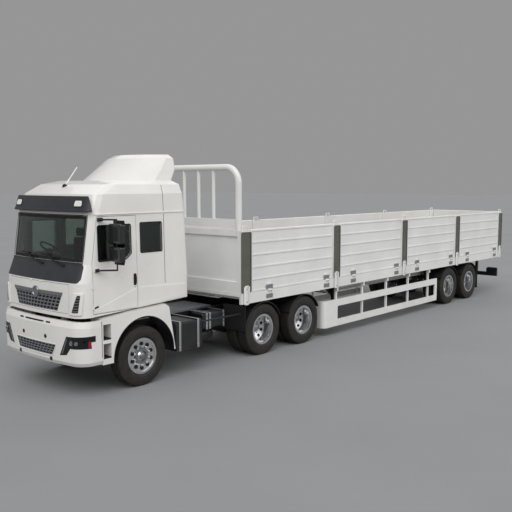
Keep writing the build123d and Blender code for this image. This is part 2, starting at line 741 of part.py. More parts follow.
GUARD_X = (635.0, 1240.0)
GUARD_RADIUS = 570.0
GUARD_WALL = 5.0
GUARD_BRACKET = 470.0        # mudguard brackets ahead of and behind the axle


def wheel_guard(y, front_bottom, rear_bottom, inside_x):
    """An arched mudguard over one pair of twin tyres, on two brackets."""
    arch = ring(GUARD_X, (GUARD_RADIUS - GUARD_WALL, GUARD_RADIUS), y, TYRE_RADIUS)
    keep = block((600, 1300), (y - 700, y), (front_bottom, 1300)) + \
        block((600, 1300), (y, y + 700), (rear_bottom, 1300))
    middle = GUARD_RADIUS - GUARD_WALL / 2
    rise = math.sqrt(middle ** 2 - GUARD_BRACKET ** 2)
    z = TYRE_RADIUS + rise
    pieces = [arch & keep]
    for end in (-1, 1):
        bar_y = y + end * GUARD_BRACKET
        pieces.append(block((inside_x, GUARD_X[0] + 25), (bar_y - 18, bar_y + 18), (z - 22, z + 22)))
    return pieces


def rear_mudguards():
    """The left mudguards over both drive axles, the first with a front panel."""
    first = wheel_guard(DRIVE_Y[0], 600, 760, RAIL_HALF)
    panel_y = DRIVE_Y[0] - GUARD_RADIUS
    first.append(block(GUARD_X, (panel_y - 4, panel_y + 6), (560, 1075)))
    second = wheel_guard(DRIVE_Y[1], 760, 760, RAIL_HALF)
    return [fused(first), fused(second)]


def fifth_wheel():
    """The coupling plate with its throat, on two side stands."""
    y = KINGPIN_Y
    plate = Pos(0, y, FIFTH_WHEEL_Z - 25) * Cylinder(470, 50)
    ramp = block((-430, 430), (y, y + 470), (FIFTH_WHEEL_Z - 50, FIFTH_WHEEL_Z))
    ramp = ramp & (Pos(0, y, FIFTH_WHEEL_Z - 25) * Cylinder(560, 60))
    pieces = [plate, ramp]
    for side in (-1, 1):
        x = sorted((side * 300, side * 425))
        pieces.append(block(x, (y - 130, y + 130), (RAIL_TOP, FIFTH_WHEEL_Z - 40)))
    body = fused(pieces)
    bore = Pos(0, y, FIFTH_WHEEL_Z - 25) * Cylinder(KINGPIN_RADIUS + 0.5, 120)
    throat = side_throat(y)
    return body - bore - throat


def side_throat(y):
    """The tapering slot that leads the kingpin to its bore."""
    points = [(-KINGPIN_RADIUS, y + 8), (KINGPIN_RADIUS, y + 8), (130, y + 600), (-130, y + 600)]
    outline = Polyline(*[(px, py, FIFTH_WHEEL_Z - 80) for px, py in points], close=True)
    return extrude(make_face(outline), amount=120, dir=(0, 0, 1))


# ================================================================ wheels
def tyre_at(x, y):
    """A tyre's carcass, open towards the rim."""
    bore = RIM_RADIUS + BEAD_FIT
    half = TYRE_WIDTH / 2
    outer = [(102, bore), (104.5, FLANGE_RADIUS + 2), (128, 350), (half, 410), (136, 470),
             (124, 508), (104, TYRE_RADIUS)]
    inner = [(72, bore), (78, 320), (104, 350), (116, 410), (112, 462), (96, 492)]
    points = [(x + px, r) for px, r in outer]
    points += [(x - px, r) for px, r in reversed(outer)]
    points += [(x - px, r) for px, r in inner]
    points += [(x + px, r) for px, r in reversed(inner)]
    return turned(points, y, TYRE_RADIUS)


def rim_barrel(x, y):
    """A rim's barrel with both flanges."""
    return [
        ring((x - 115, x + 115), (RIM_RADIUS - RIM_WALL, RIM_RADIUS), y, TYRE_RADIUS),
        ring((x - 115, x - 105), (RIM_RADIUS - RIM_WALL, FLANGE_RADIUS), y, TYRE_RADIUS),
        ring((x + 105, x + 115), (RIM_RADIUS - RIM_WALL, FLANGE_RADIUS), y, TYRE_RADIUS),
    ]


def hand_holes(body, x, y, radius):
    """Cut the ring of hand holes through a wheel disc."""
    for step in range(HAND_HOLES):
        angle = 2 * math.pi * step / HAND_HOLES
        py = y + radius * math.sin(angle)
        pz = TYRE_RADIUS + radius * math.cos(angle)
        body = body - rod(HAND_HOLE_RADIUS, (x[0], py, pz), (x[1], py, pz))
    return body


def front_rim():
    """The left front wheel's rim, disc and hub."""
    x = FRONT_WHEEL_X
    y = from_axle(0)
    bore = FRONT_SPINDLE_RADIUS + SPINDLE_FIT
    disc = turned([(x + 70, RIM_RADIUS - 8), (x + 98, RIM_RADIUS - 8), (x + 84, 150), (x + 84, 40),
                   (x + 70, 40), (x + 70, 150)], y, TYRE_RADIUS)
    hub = ring((x - 50, x + 75), (bore, 105), y, TYRE_RADIUS)
    cap = turned([(x + 60, 0), (x + 125, 0), (x + 120, 60), (x + 80, 95), (x + 60, 95)], y, TYRE_RADIUS)
    body = fused(rim_barrel(x, y) + [disc, hub, cap])
    return hand_holes(body, (x + 60, x + 110), y, 215)


def twin_rims(y):
    """The left twin wheels' rims with the discs, hub and drum between them."""
    outer_x = TWIN_OUTER_X
    inner_x = TWIN_OUTER_X - TWIN_SPACING
    middle = (outer_x + inner_x) / 2
    bore = AXLE_SPINDLE_RADIUS + SPINDLE_FIT
    dish = [(outer_x - 115, 280), (outer_x - 101, 280), (middle + 14, 165), (middle + 14, 100),
            (middle, 100), (middle, 165)]
    back_dish = [(2 * middle - px, r) for px, r in dish]
    pieces = rim_barrel(outer_x, y) + rim_barrel(inner_x, y)
    pieces.append(turned(dish, y, TYRE_RADIUS))
    pieces.append(turned(back_dish, y, TYRE_RADIUS))
    pieces.append(ring((middle - 150, middle + 62), (bore, 110), y, TYRE_RADIUS))
    pieces.append(turned([(middle + 61, 0), (middle + 130, 0), (middle + 120, 70), (middle + 75, 92),
                          (middle + 61, 92)], y, TYRE_RADIUS))
    pieces.append(ring((middle - 260, middle - 60), (190, 206), y, TYRE_RADIUS))
    pieces.append(ring((middle - 70, middle - 58), (100, 206), y, TYRE_RADIUS))
    return hand_holes(fused(pieces), (middle - 60, middle + 75), y, 222)


def knuckle():
    """The left steering knuckle: a fork over the axle's boss, its pin and spindle."""
    y = from_axle(0)
    z = TYRE_RADIUS
    pieces = []
    for low in (445, 575):
        pieces.append(Pos(STEER_X, y, low + 15) * Cylinder(48, 30))
        pieces.append(block((STEER_X, 940), (y - 48, y + 48), (low, low + 30)))
    pieces.append(block((918, 940), (y - 60, y + 60), (445, 605)))
    pieces.append(Pos(STEER_X, y, z) * Cylinder(STEER_PIN_RADIUS, 160))
    pieces.append(rod(FRONT_SPINDLE_RADIUS, (930, y, z), (1075, y, z)))
    pieces.append(ring((940, 952), (30, 140), y, z))
    pieces.append(block((STEER_X - 20, STEER_X + 20), (y + 30, y + 200), (447, 473)))
    return fused(pieces)


# ================================================================ trailer
BEAM_X = 480.0
BEAM_FLANGE = 150.0
BEAM_BOTTOM = 850.0
NECK_BOTTOM = FIFTH_WHEEL_Z + PLATE_GAP
STEP_START = KINGPIN_Y + 1990.0     # where the neck starts to deepen
STEP_END = KINGPIN_Y + 2450.0
DECK_THICK = 28.0
RAVE_WALL = 8.0
RAVE_DEPTH = 60.0
CROSS_PITCH = 480.0
CROSS_Z = (1200.0, DECK_TOP - DECK_THICK - 14.0)    # pierce the beams under their top flange
BAYS = 4
POST_Y = 280.0
POST_X = 55.0
BAY_PITCH = (BED_LENGTH - POST_Y) / BAYS
BOARD_GAP = 9.0
BOARD_THICK = 38.0
BOARD_FOOT = 7.0             # board's lower edge above the rave
AXIS_Z = DECK_TOP - 8.0
AXIS_X = BED_HALF + HINGE_OUT
HINGE_LEAF = 60.0            # half spacing of a hinge's lugs
HINGE_FRONT = 560.0          # a board's front hinge behind its front end
HINGE_REAR = 230.0
LUG = 12.0


def main_beam(side):
    """One main beam: a web and two flanges, shallow over the coupling."""
    x_mid = side * BEAM_X
    top = DECK_TOP - DECK_THICK
    rear_bottom = 1000.0
    slope = (TRAILER_Y[1] + 800.0, BED_REAR - 260.0)
    profile = [(BED_FRONT + 60, NECK_BOTTOM), (STEP_START, NECK_BOTTOM), (STEP_END, BEAM_BOTTOM),
               (slope[0], BEAM_BOTTOM), (slope[1], rear_bottom), (BED_REAR - 60, rear_bottom),
               (BED_REAR - 60, top), (BED_FRONT + 60, top)]
    inner = [(BED_FRONT + 40, NECK_BOTTOM + 16), (STEP_START + 6, NECK_BOTTOM + 16),
             (STEP_END + 6, BEAM_BOTTOM + 16), (slope[0], BEAM_BOTTOM + 16),
             (slope[1], rear_bottom + 16), (BED_REAR - 40, rear_bottom + 16),
             (BED_REAR - 40, top - 14), (BED_FRONT + 40, top - 14)]
    band = side_prism(profile, (x_mid - BEAM_FLANGE / 2, x_mid + BEAM_FLANGE / 2))
    hollow = side_prism(inner, (x_mid - BEAM_FLANGE, x_mid + BEAM_FLANGE))
    web = side_prism(profile, (x_mid - 6, x_mid + 6))
    beam = (band - hollow) + web
    for y in cross_rows():
        beam = beam - block((-BED_HALF, BED_HALF), y, CROSS_Z)
    return beam


def cross_rows():
    """Where the cross members start and end along the bed."""
    rows = int((BED_LENGTH - 300) // CROSS_PITCH)
    pitch = (BED_LENGTH - 300) / rows
    middles = [BED_FRONT + 150 + row * pitch for row in range(rows + 1)]
    return [(middle - 30, middle + 30) for middle in middles]


def bay_posts():
    """The middle of every post along one side."""
    return [BED_FRONT + POST_Y / 2 + index * BAY_PITCH for index in range(BAYS + 1)]


def bay_limits(index):
    """Where one board starts and ends."""
    posts = bay_posts()
    return (posts[index] + POST_Y / 2 + BOARD_GAP, posts[index + 1] - POST_Y / 2 - BOARD_GAP)


def hinge_places(limits):
    """Where a board's hinges stand along it."""
    low, high = limits
    return (low + HINGE_FRONT, high - HINGE_REAR)


def hinge_lugs(at):
    """Two lugs and a pin on the outside of the left rave."""
    pieces = []
    for end in (-1, 1):
        y = sorted((at + end * HINGE_LEAF, at + end * (HINGE_LEAF + LUG)))
        pieces.append(block((BED_HALF - 1, AXIS_X), y, (AXIS_Z - 70, AXIS_Z + 6)))
        pieces.append(rod(12, (AXIS_X, y[0], AXIS_Z), (AXIS_X, y[1], AXIS_Z)))
    pin_y = (at - HINGE_LEAF - 1, at + HINGE_LEAF + 1)
    pieces.append(rod(PIN_RADIUS, (AXIS_X, pin_y[0], AXIS_Z), (AXIS_X, pin_y[1], AXIS_Z)))
    return pieces


def rear_lugs(at):
    """Two lugs and a pin behind the bed for the tailgate."""
    y_axis = BED_REAR + HINGE_OUT
    pieces = []
    for end in (-1, 1):
        x = sorted((at + end * HINGE_LEAF, at + end * (HINGE_LEAF + LUG)))
        pieces.append(block(x, (BED_REAR - 1, y_axis), (AXIS_Z - 70, AXIS_Z + 6)))
        pieces.append(rod(12, (x[0], y_axis, AXIS_Z), (x[1], y_axis, AXIS_Z)))
    pin_x = (at - HINGE_LEAF - 1, at + HINGE_LEAF + 1)
    pieces.append(rod(PIN_RADIUS, (pin_x[0], y_axis, AXIS_Z), (pin_x[1], y_axis, AXIS_Z)))
    return pieces


GATE_HINGES = (-850.0, 0.0, 850.0)


def rave():
    """The left side rail: a channel open inwards."""
    outer = block((BED_HALF - RAVE_DEPTH, BED_HALF), (BED_FRONT, BED_REAR), (RAVE_BOTTOM, DECK_TOP))
    inner = block((BED_HALF - RAVE_DEPTH - 1, BED_HALF - RAVE_WALL),
                  (BED_FRONT + RAVE_WALL, BED_REAR - RAVE_WALL),
                  (RAVE_BOTTOM + RAVE_WALL, DECK_TOP - RAVE_WALL))
    return outer - inner


def trailer_frame():
    """Beams, the members they carry, the two raves, and the kingpin in its plate."""
    pieces = [main_beam(side) for side in (-1, 1)]
    cross_half = BED_HALF - RAVE_WALL
    pieces += [block((-cross_half, cross_half), y, CROSS_Z) for y in cross_rows()]
    end_x = (RAVE_DEPTH - BED_HALF, BED_HALF - RAVE_DEPTH)
    end_z = (NECK_BOTTOM + 90, DECK_TOP)
    pieces.append(block(end_x, (BED_FRONT, BED_FRONT + RAVE_DEPTH), end_z))
    rear = [block(end_x, (BED_REAR - RAVE_DEPTH, BED_REAR), end_z)]
    for at in GATE_HINGES:
        rear += rear_lugs(at)
    pieces.append(fused(rear))
    plate_half = BEAM_X - BEAM_FLANGE / 2
    plate = block((-plate_half, plate_half), (BED_FRONT + RAVE_DEPTH, KINGPIN_Y + 700),
                  (NECK_BOTTOM, NECK_BOTTOM + 10))
    pin_top = NECK_BOTTOM + 10
    pin = rod(KINGPIN_RADIUS, (0, KINGPIN_Y, NECK_BOTTOM - KINGPIN_LENGTH), (0, KINGPIN_Y, pin_top))
    pieces.append(plate + pin)
    rail = [rave()]
    for index in range(BAYS):
        for at in hinge_places(bay_limits(index)):
            rail += hinge_lugs(at)
    rail = fused(rail)
    return pieces + [rail, mirrored(rail)]


def trailer_deck():
    """The deck planking between the raves."""
    y = (BED_FRONT + RAVE_DEPTH + 0.5, BED_REAR - RAVE_DEPTH - 0.5)
    half = BED_HALF - RAVE_DEPTH - 0.5
    return block((-half, half), y, (DECK_TOP - DECK_THICK, DECK_TOP))


HOOP_TUBE = 65.0
HOOP_X = 1120.0
HOOP_RADIUS = 320.0
HEAD_Y = (BED_FRONT + 5.0, BED_FRONT + RAVE_DEPTH)
HEAD_HALF = BED_HALF - POST_X - 2


def headboard():
    """The front wall between the corner posts, with the hoop above it."""
    y_mid = (HEAD_Y[0] + HEAD_Y[1]) / 2 + 30
    frame = block((-HEAD_HALF, HEAD_HALF), HEAD_Y, (DECK_TOP, BOARD_TOP))
    recess = block((-HEAD_HALF + 60, HEAD_HALF - 60), (HEAD_Y[0] - 1, HEAD_Y[0] + 35), (1560, 2470))
    wall = frame - recess
    rail = block((-HOOP_X, HOOP_X), (y_mid - 35, y_mid + 35), (2630, 2800))
    top = HOOP_TOP - HOOP_TUBE
    path = FilletPolyline((-HOOP_X, y_mid, BOARD_TOP - 40), (-HOOP_X, y_mid, top), (HOOP_X, y_mid, top),
                          (HOOP_X, y_mid, BOARD_TOP - 40), radius=HOOP_RADIUS)
    section = Plane(origin=(-HOOP_X, y_mid, BOARD_TOP - 40), z_dir=(0, 0, 1)) * Circle(HOOP_TUBE)
    hoop = sweep(section, path=path)
    bars = [rod(35, (x, y_mid, 2790), (x, y_mid, top)) for x in (-430, 0, 430)]
    feet = [block((x - 70, x + 70), (HEAD_Y[0] + 10, HEAD_Y[1] + 60), (BOARD_TOP - 130, BOARD_TOP - 30))
            for x in (-HOOP_X, HOOP_X)]
    return fused([wall, rail, hoop] + bars + feet)


def trailer_posts():
    """The left side's posts with a loop on each head."""
    posts = []
    for y in bay_posts():
        x = (BED_HALF - POST_X, BED_HALF)
        post = block(x, (y - POST_Y / 2, y + POST_Y / 2), (DECK_TOP, POST_TOP))
        cap = block(x, (y - POST_Y / 2 - 4, y + POST_Y / 2 + 4), (POST_TOP, POST_TOP + 14))
        mid_x = (x[0] + x[1]) / 2
        loop = [block((mid_x - 6, mid_x + 6), sorted((y + end * 45, y + end * 33)),
                      (POST_TOP + 14, POST_TOP + 70)) for end in (-1, 1)]
        loop.append(block((mid_x - 6, mid_x + 6), (y - 45, y + 45), (POST_TOP + 58, POST_TOP + 70)))
        posts.append(fused([post, cap] + loop))
    return posts


PLANKS = 5
RIB = 12.0
RIB_HEIGHT = 26.0


def side_board(index):
    """One left drop side: ribbed planks with two hinge leaves."""
    low, high = bay_limits(index)
    x = (BED_HALF - BOARD_THICK - 4, BED_HALF - 4)
    foot = DECK_TOP + BOARD_FOOT
    skin_x = x[1] - RIB
    pieces = [block((x[0], skin_x), (low, high), (foot, BOARD_TOP))]
    plank = (BOARD_TOP - foot) / PLANKS
    for row in range(PLANKS + 1):
        z = min(max(foot + row * plank - RIB_HEIGHT / 2, foot), BOARD_TOP - RIB_HEIGHT)
        pieces.append(block((skin_x, x[1]), (low, high), (z, z + RIB_HEIGHT)))
    for end in (low, high - 30):
        pieces.append(block((skin_x, x[1]), (end, end + 30), (foot, BOARD_TOP)))
    for at in hinge_places((low, high)):
        half = HINGE_LEAF - 3
        pieces.append(block((skin_x, AXIS_X + 8), (at - half, at + half), (foot, foot + 14)))
        pieces.append(block((BED_HALF + 3, AXIS_X + 8), (at - half, at + half), (AXIS_Z, foot + 14)))
        pieces.append(block((skin_x, x[1] + 6), (at - half, at + half), (foot, foot + 130)))
        pieces.append(rod(BARREL_RADIUS, (AXIS_X, at - half, AXIS_Z), (AXIS_X, at + half, AXIS_Z)))
    board = fused(pieces)
    for at in hinge_places((low, high)):
        board = board - rod(PIN_RADIUS + PIN_FIT, (AXIS_X, at - 70, AXIS_Z), (AXIS_X, at + 70, AXIS_Z))
    return board


def tailgate():
    """The drop board at the rear, with three hinge leaves."""
    half = BED_HALF - POST_X - BOARD_GAP
    y = (BED_REAR - BOARD_THICK - 4, BED_REAR - 4)
    y_axis = BED_REAR + HINGE_OUT
    foot = DECK_TOP + BOARD_FOOT
    skin_y = y[1] - RIB
    pieces = [block((-half, half), (y[0], skin_y), (foot, BOARD_TOP))]
    plank = (BOARD_TOP - foot) / PLANKS
    for row in range(PLANKS + 1):
        z = min(max(foot + row * plank - RIB_HEIGHT / 2, foot), BOARD_TOP - RIB_HEIGHT)
        pieces.append(block((-half, half), (skin_y, y[1]), (z, z + RIB_HEIGHT)))
    for at in GATE_HINGES:
        reach = HINGE_LEAF - 3
        pieces.append(block((at - reach, at + reach), (skin_y, y_axis + 8), (foot, foot + 14)))
        pieces.append(block((at - reach, at + reach), (BED_REAR + 3, y_axis + 8), (AXIS_Z, foot + 14)))
        pieces.append(block((at - reach, at + reach), (skin_y, y[1] + 6), (foot, foot + 130)))
        pieces.append(rod(BARREL_RADIUS, (at - reach, y_axis, AXIS_Z), (at + reach, y_axis, AXIS_Z)))
    gate = fused(pieces)
    for at in GATE_HINGES:
        gate = gate - rod(PIN_RADIUS + PIN_FIT, (at - 70, y_axis, AXIS_Z), (at + 70, y_axis, AXIS_Z))
    return gate


GUARD_FRONT = KINGPIN_Y + 1420.0
GUARD_REAR = TRAILER_Y[0] - 780.0
SIDE_X = 1235.0
SIDE_THICK = 40.0
SIDE_RAILS = ((205.0, 360.0), (670.0, 830.0))
NOSE_RADIUS = 120.0
NOSE_INNER_X = 1035.0
NOSE_LENGTH = 535.0
STAYS = 5
STAY_PITCH = 1115.0
STAY_HALF = 28.0


def side_guard():
    """The left underrun guard: a curved nose, two rails and bent stays."""
    x = (SIDE_X - SIDE_THICK, SIDE_X)
    low, high = SIDE_RAILS[0][0], SIDE_RAILS[1][1]
    pieces = [block(x, (GUARD_FRONT + NOSE_LENGTH - 10, GUARD_REAR), rail) for rail in SIDE_RAILS]
    pieces.append(block(x, (GUARD_FRONT + NOSE_RADIUS, GUARD_FRONT + NOSE_LENGTH), (low, high)))
    pieces += guard_nose(low, high)
    pieces.append(block(x, (GUARD_REAR - 110, GUARD_REAR), (low, high)))
    for index in range(STAYS):
        y = GUARD_FRONT + NOSE_LENGTH + index * STAY_PITCH
        y = (y - STAY_HALF, y + STAY_HALF)
        pieces.append(block((x[0] - 45, x[0]), y, (low + 20, RAVE_BOTTOM - 50)))
        pieces.append(block((x[0] - 45, x[1]), y, (RAVE_BOTTOM - 90, RAVE_BOTTOM)))
    return fused(pieces)


def guard_nose(low, high):
    """The quarter-round front end of a side guard, turned inwards."""
    y = GUARD_FRONT + NOSE_RADIUS
    x = SIDE_X - NOSE_RADIUS
    tube = Cylinder(NOSE_RADIUS, high - low) - Cylinder(NOSE_RADIUS - SIDE_THICK, high - low + 2)
    quarter = block((x, SIDE_X + 5), (GUARD_FRONT - 5, y), (low - 5, high + 5))
    inward = block((NOSE_INNER_X, x), (GUARD_FRONT, GUARD_FRONT + SIDE_THICK), (low, high))
    return [(Pos(x, y, (low + high) / 2) * tube) & quarter, inward]


def rear_guard():
    """The rear underrun bar with its lamps and hangers."""
    bar = block((-1180, 1180), (BED_REAR - 140, BED_REAR - 40), (470, 590))
    pieces = [bar]
    for side in (-1, 1):
        pieces.append(block(sorted((side * 440, side * 520)), (BED_REAR - 130, BED_REAR - 62), (580, 1000)))
        pieces.append(block(sorted((side * 820, side * 1180)), (BED_REAR - 110, BED_REAR - 50), (585, 720)))
    return fused(pieces)


LEG_Y = KINGPIN_Y + 2650.0
LEG_TOP = CROSS_Z[0] - 5.0


def landing_leg():
    """The left landing leg, wound up, with its foot and brace."""
    y = LEG_Y
    x = 560.0
    upper = block((x, x + 110), (y - 55, y + 55), (760, LEG_TOP))
    lower = block((x + 12, x + 98), (y - 43, y + 43), (420, 770))
    shoe = block((x - 40, x + 150), (y - 110, y + 110), (395, 420))
    plate = block((BEAM_X + BEAM_FLANGE / 2, x + 5), (y - 120, y + 120), (BEAM_BOTTOM, LEG_TOP))
    return fused([upper, lower, shoe, plate])


def landing_legs():
    """Both legs and the cross shaft between them."""
    left = landing_leg()
    shaft = rod(16, (-600, LEG_Y + 40, 810), (600, LEG_Y + 40, 810))
    return fused([left, mirrored(left), shaft])


def trailer_axles():
    """Both dead axles with their springs and hangers under the beams."""
    pieces = []
    z = TYRE_RADIUS
    for y in TRAILER_Y:
        pieces.append(axle_tube(y, 65.0, 0.0))
    hangers = (TRAILER_Y[0] - 670, BOGIE_Y, TRAILER_Y[1] + 670)
    for side in (-1, 1):
        x = sorted((side * 440, side * 520))
        for y in hangers:
            pieces.append(block(x, (y - 70, y + 70), (640, BEAM_BOTTOM)))
        for y in TRAILER_Y:
            spring = side_prism([(y - 660, 670), (y, 590), (y + 660, 670), (y + 660, 705), (y, 650),
                                 (y - 660, 705)], x)
            pieces.append(spring)
            pieces.append(block(x, (y - 60, y + 60), (575, 640)))
    return fused(pieces)


def trailer_mudguards():
    """The left mudguards over both trailer axles, on brackets from the beam."""
    low = 800.0
    return [fused(wheel_guard(y, low, low, BEAM_X + BEAM_FLANGE / 2)) for y in TRAILER_Y]


# ================================================================ assembly
def build_tractor():
    """Write every part of the tractor unit."""
    save("tractor_frame", *tractor_frame())
    save("tractor_axles", front_axle(), drive_axles())
    save("engine_block", engine_block())
    save("front_bumper", front_bumper())
    lamp = head_lamp()
    save("headlamps", lamp, mirrored(lamp))
    fender = front_fender()
    save("front_fenders", fender, mirrored(fender))
    save("chassis_tanks", *chassis_tanks())
    guards = rear_mudguards()
    save("rear_mudguards", *guards, *[mirrored(guard) for guard in guards])
    save("fifth_wheel", fifth_wheel())


def build_cab():
    """Write the cab, what is in it and its two doors."""
    save("cab_shell", cab_shell())
    save("windscreen", windscreen())
    pane = cab_side_glass()
    save("cab_side_glass", pane, mirrored(pane))
    save("front_flap", front_flap())
    save("sun_visor", sun_visor())
    save("roof_deflector", roof_deflector())
    save("cab_dashboard", cab_dashboard())
    save("cab_seats", *cab_seats())
    panel = door_panel()
    glass = door_glass()
    save("door_left", panel)
    save("door_left_glass", glass)
    save("door_right", mirrored(panel))
    save("door_right_glass", mirrored(glass))


def build_wheels():
    """Write the steering knuckles and every wheel."""
    left_knuckle = knuckle()
    tyre = tyre_at(FRONT_WHEEL_X, from_axle(0))
    rim = front_rim()
    for name, turn in (("left", lambda shape: shape), ("right", mirrored)):
        save(f"knuckle_{name}", turn(left_knuckle))
        save(f"front_tyre_{name}", turn(tyre))
        save(f"front_rim_{name}", turn(rim))
    for group, places in (("drive", DRIVE_Y), ("trailer", TRAILER_Y)):
        for number, y in enumerate(places, start=1):
            outer = tyre_at(TWIN_OUTER_X, y)
            inner = tyre_at(TWIN_OUTER_X - TWIN_SPACING, y)
            rims = twin_rims(y)
            for name, turn in (("left", lambda shape: shape), ("right", mirrored)):
                save(f"{group}_tyres_{number}_{name}", turn(outer), turn(inner))
                save(f"{group}_rims_{number}_{name}", turn(rims))


def build_trailer():
    """Write every part of the semi-trailer."""
    save("trailer_frame", *trailer_frame())
    save("trailer_deck", trailer_deck())
    save("headboard", headboard())
    posts = trailer_posts()
    save("trailer_posts", *posts, *[mirrored(post) for post in posts])
    for index in range(BAYS):
        board = side_board(index)
        save(f"board_left_{index + 1}", board)
        save(f"board_right_{index + 1}", mirrored(board))
    save("tailgate", tailgate())
    guard = side_guard()
    save("underrun_guards", guard, mirrored(guard), rear_guard())
    save("landing_legs", landing_legs())
    save("trailer_axles", trailer_axles())
    mudguards = trailer_mudguards()
    save("trailer_mudguards", *mudguards, *[mirrored(mudguard) for mudguard in mudguards])


build_tractor()
build_cab()
build_wheels()
build_trailer()
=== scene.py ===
"""Looks of an articulated lorry: a cab-over tractor unit with a drop-side semi-trailer.

Every size is in metres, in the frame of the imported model: +Z up, -Y is the way
the lorry drives and +X is its left side.  Places on the cab are given from the
middle of the front axle, and places on the bed from its own nodes.
"""

from __future__ import annotations

import logging
import math
from dataclasses import dataclass
from enum import Enum
from typing import Callable, Iterable, Sequence

import bpy
from mathutils import Matrix, Vector


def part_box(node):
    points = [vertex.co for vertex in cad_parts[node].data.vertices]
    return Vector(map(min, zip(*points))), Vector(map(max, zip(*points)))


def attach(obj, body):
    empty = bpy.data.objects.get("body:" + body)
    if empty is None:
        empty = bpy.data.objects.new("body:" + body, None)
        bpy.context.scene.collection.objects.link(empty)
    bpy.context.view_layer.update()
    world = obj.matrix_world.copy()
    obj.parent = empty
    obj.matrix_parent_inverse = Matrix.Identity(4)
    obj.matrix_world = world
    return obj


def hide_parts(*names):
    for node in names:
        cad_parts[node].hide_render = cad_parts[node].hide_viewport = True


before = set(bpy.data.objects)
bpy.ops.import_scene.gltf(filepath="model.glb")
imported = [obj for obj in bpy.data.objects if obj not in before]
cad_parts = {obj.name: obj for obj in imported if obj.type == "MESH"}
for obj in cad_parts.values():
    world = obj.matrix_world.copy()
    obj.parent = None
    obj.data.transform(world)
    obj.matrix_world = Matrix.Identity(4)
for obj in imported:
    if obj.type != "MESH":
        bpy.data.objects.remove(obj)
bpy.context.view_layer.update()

LOG = logging.getLogger("lorry")
MM = 0.001
UP = Vector((0.0, 0.0, 1.0))
LEFT = Vector((1.0, 0.0, 0.0))
BACK = Vector((0.0, 1.0, 0.0))
OUTSIDE = 12.0  # a distance from the origin that is beyond every piece

Point = Sequence[float]
Pair = tuple[float, float]
Piece = bpy.types.Object
Socket = bpy.types.NodeSocket


def middle(node: str) -> Vector:
    """The middle of a CAD node's box."""
    low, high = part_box(node)
    return (low + high) / 2


FRONT_AXLE = middle("front_tyre_left")


def from_axle(x: float, y: float, z: float) -> Vector:
    """A place on the cab, with y behind the front axle."""
    return Vector((x, FRONT_AXLE.y + y, z))


def behind_axle(corners: Iterable[Pair]) -> list[Pair]:
    """(y, z) corners given behind the front axle, moved to the lorry's own length."""
    return [(FRONT_AXLE.y + y, z) for y, z in corners]


# ------------------------------------------------------------------ shader nodes
def linear(colour: str) -> tuple[float, float, float, float]:
    """Turn an sRGB hex colour into a linear one.

    Args:
        colour: six hex digits after a hash sign.

    Returns:
        Red, green, blue and alpha for a shader socket.
    """
    channels = [int(colour[i:i + 2], 16) / 255 for i in (1, 3, 5)]
    bent = [c / 12.92 if c <= 0.04045 else ((c + 0.055) / 1.055) ** 2.4 for c in channels]
    return (bent[0], bent[1], bent[2], 1.0)


def feed(tree: bpy.types.NodeTree, node: bpy.types.Node, inputs: dict) -> None:
    """Set a node's sockets to values or hex colours, or link them to the outputs that feed them."""
    for key, value in inputs.items():
        if isinstance(value, Socket):
            tree.links.new(value, node.inputs[key])
        else:
            node.inputs[key].default_value = linear(value) if isinstance(value, str) else value


def add_node(tree: bpy.types.NodeTree, kind: str, output: str | int, inputs: dict,
             **settings: object) -> Socket:
    """Add one shader node with its settings and links.

    Args:
        tree: the material's node tree.
        kind: the node's type name after "ShaderNode".
        output: the name or number of the output that is wanted.
        inputs: socket name or number to a value, hex text or the output that feeds it.
        **settings: properties of the node.

    Returns:
        The wanted output.
    """
    node = tree.nodes.new("ShaderNode" + kind)
    for key, value in settings.items():
        setattr(node, key, value)
    feed(tree, node, inputs)
    return node.outputs[output]


def per_metre(millimetres: float) -> float:
    """A noise or voronoi scale that gives one feature for each such distance."""
    return 1.0 / (millimetres * MM)


class Look:
    """A material under construction: its tree, its shader and the Object coordinates."""

    def __init__(self, name: str) -> None:
        """Start a material with a bare shader."""
        self.material = bpy.data.materials.new(name)
        self.material.use_nodes = True
        self.tree = self.material.node_tree
        self.shader = self.tree.nodes["Principled BSDF"]
        self.place = self.add("TexCoord", "Object", {})

    def add(self, kind: str, output: str | int, inputs: dict, **settings: object) -> Socket:
        """Add one node to this material, as add_node does."""
        return add_node(self.tree, kind, output, inputs, **settings)

    def noise(self, millimetres: float, detail: float, place: Socket | None = None) -> Socket:
        """Clouds of about a size, at the Object coordinates or at a place of their own."""
        place = self.place if place is None else place
        return self.add("TexNoise", "Fac", {"Vector": place, "Scale": per_metre(millimetres), "Detail": detail})

    def spread(self, value: Socket, low: float, high: float, least: float = 0.0, most: float = 1.0) -> Socket:
        """A value from low to high, spread from least to most."""
        return self.add("MapRange", "Result", {"Value": value, "From Min": low, "From Max": high,
                                               "To Min": least, "To Max": most})

    def mix(self, share: Socket, first: Socket | str, second: Socket | str) -> Socket:
        """Two colours mixed, by the share of the second."""
        return self.add("Mix", 2, {0: share, 6: first, 7: second}, data_type="RGBA")

    def maths(self, kind: str, *values: Socket | float) -> Socket:
        """One sum on one or two values."""
        return self.add("Math", 0, dict(enumerate(values)), operation=kind)

    def waves(self, millimetres: float, way: str) -> Socket:
        """One band for each such distance, where a scale of one draws twenty to the unit."""
        scale = per_metre(millimetres) / 20
        return self.add("TexWave", "Fac", {"Vector": self.place, "Scale": scale}, bands_direction=way)

    def bump(self, height: Socket, depth_mm: float, strength: float) -> Socket:
        """A relief of a depth in the shading."""
        return self.add("Bump", 0, {"Height": height, "Distance": depth_mm * MM, "Strength": strength})

    def shade(self, inputs: dict) -> bpy.types.Material:
        """Set or link the shader's own sockets and give the finished material."""
        feed(self.tree, self.shader, inputs)
        return self.material


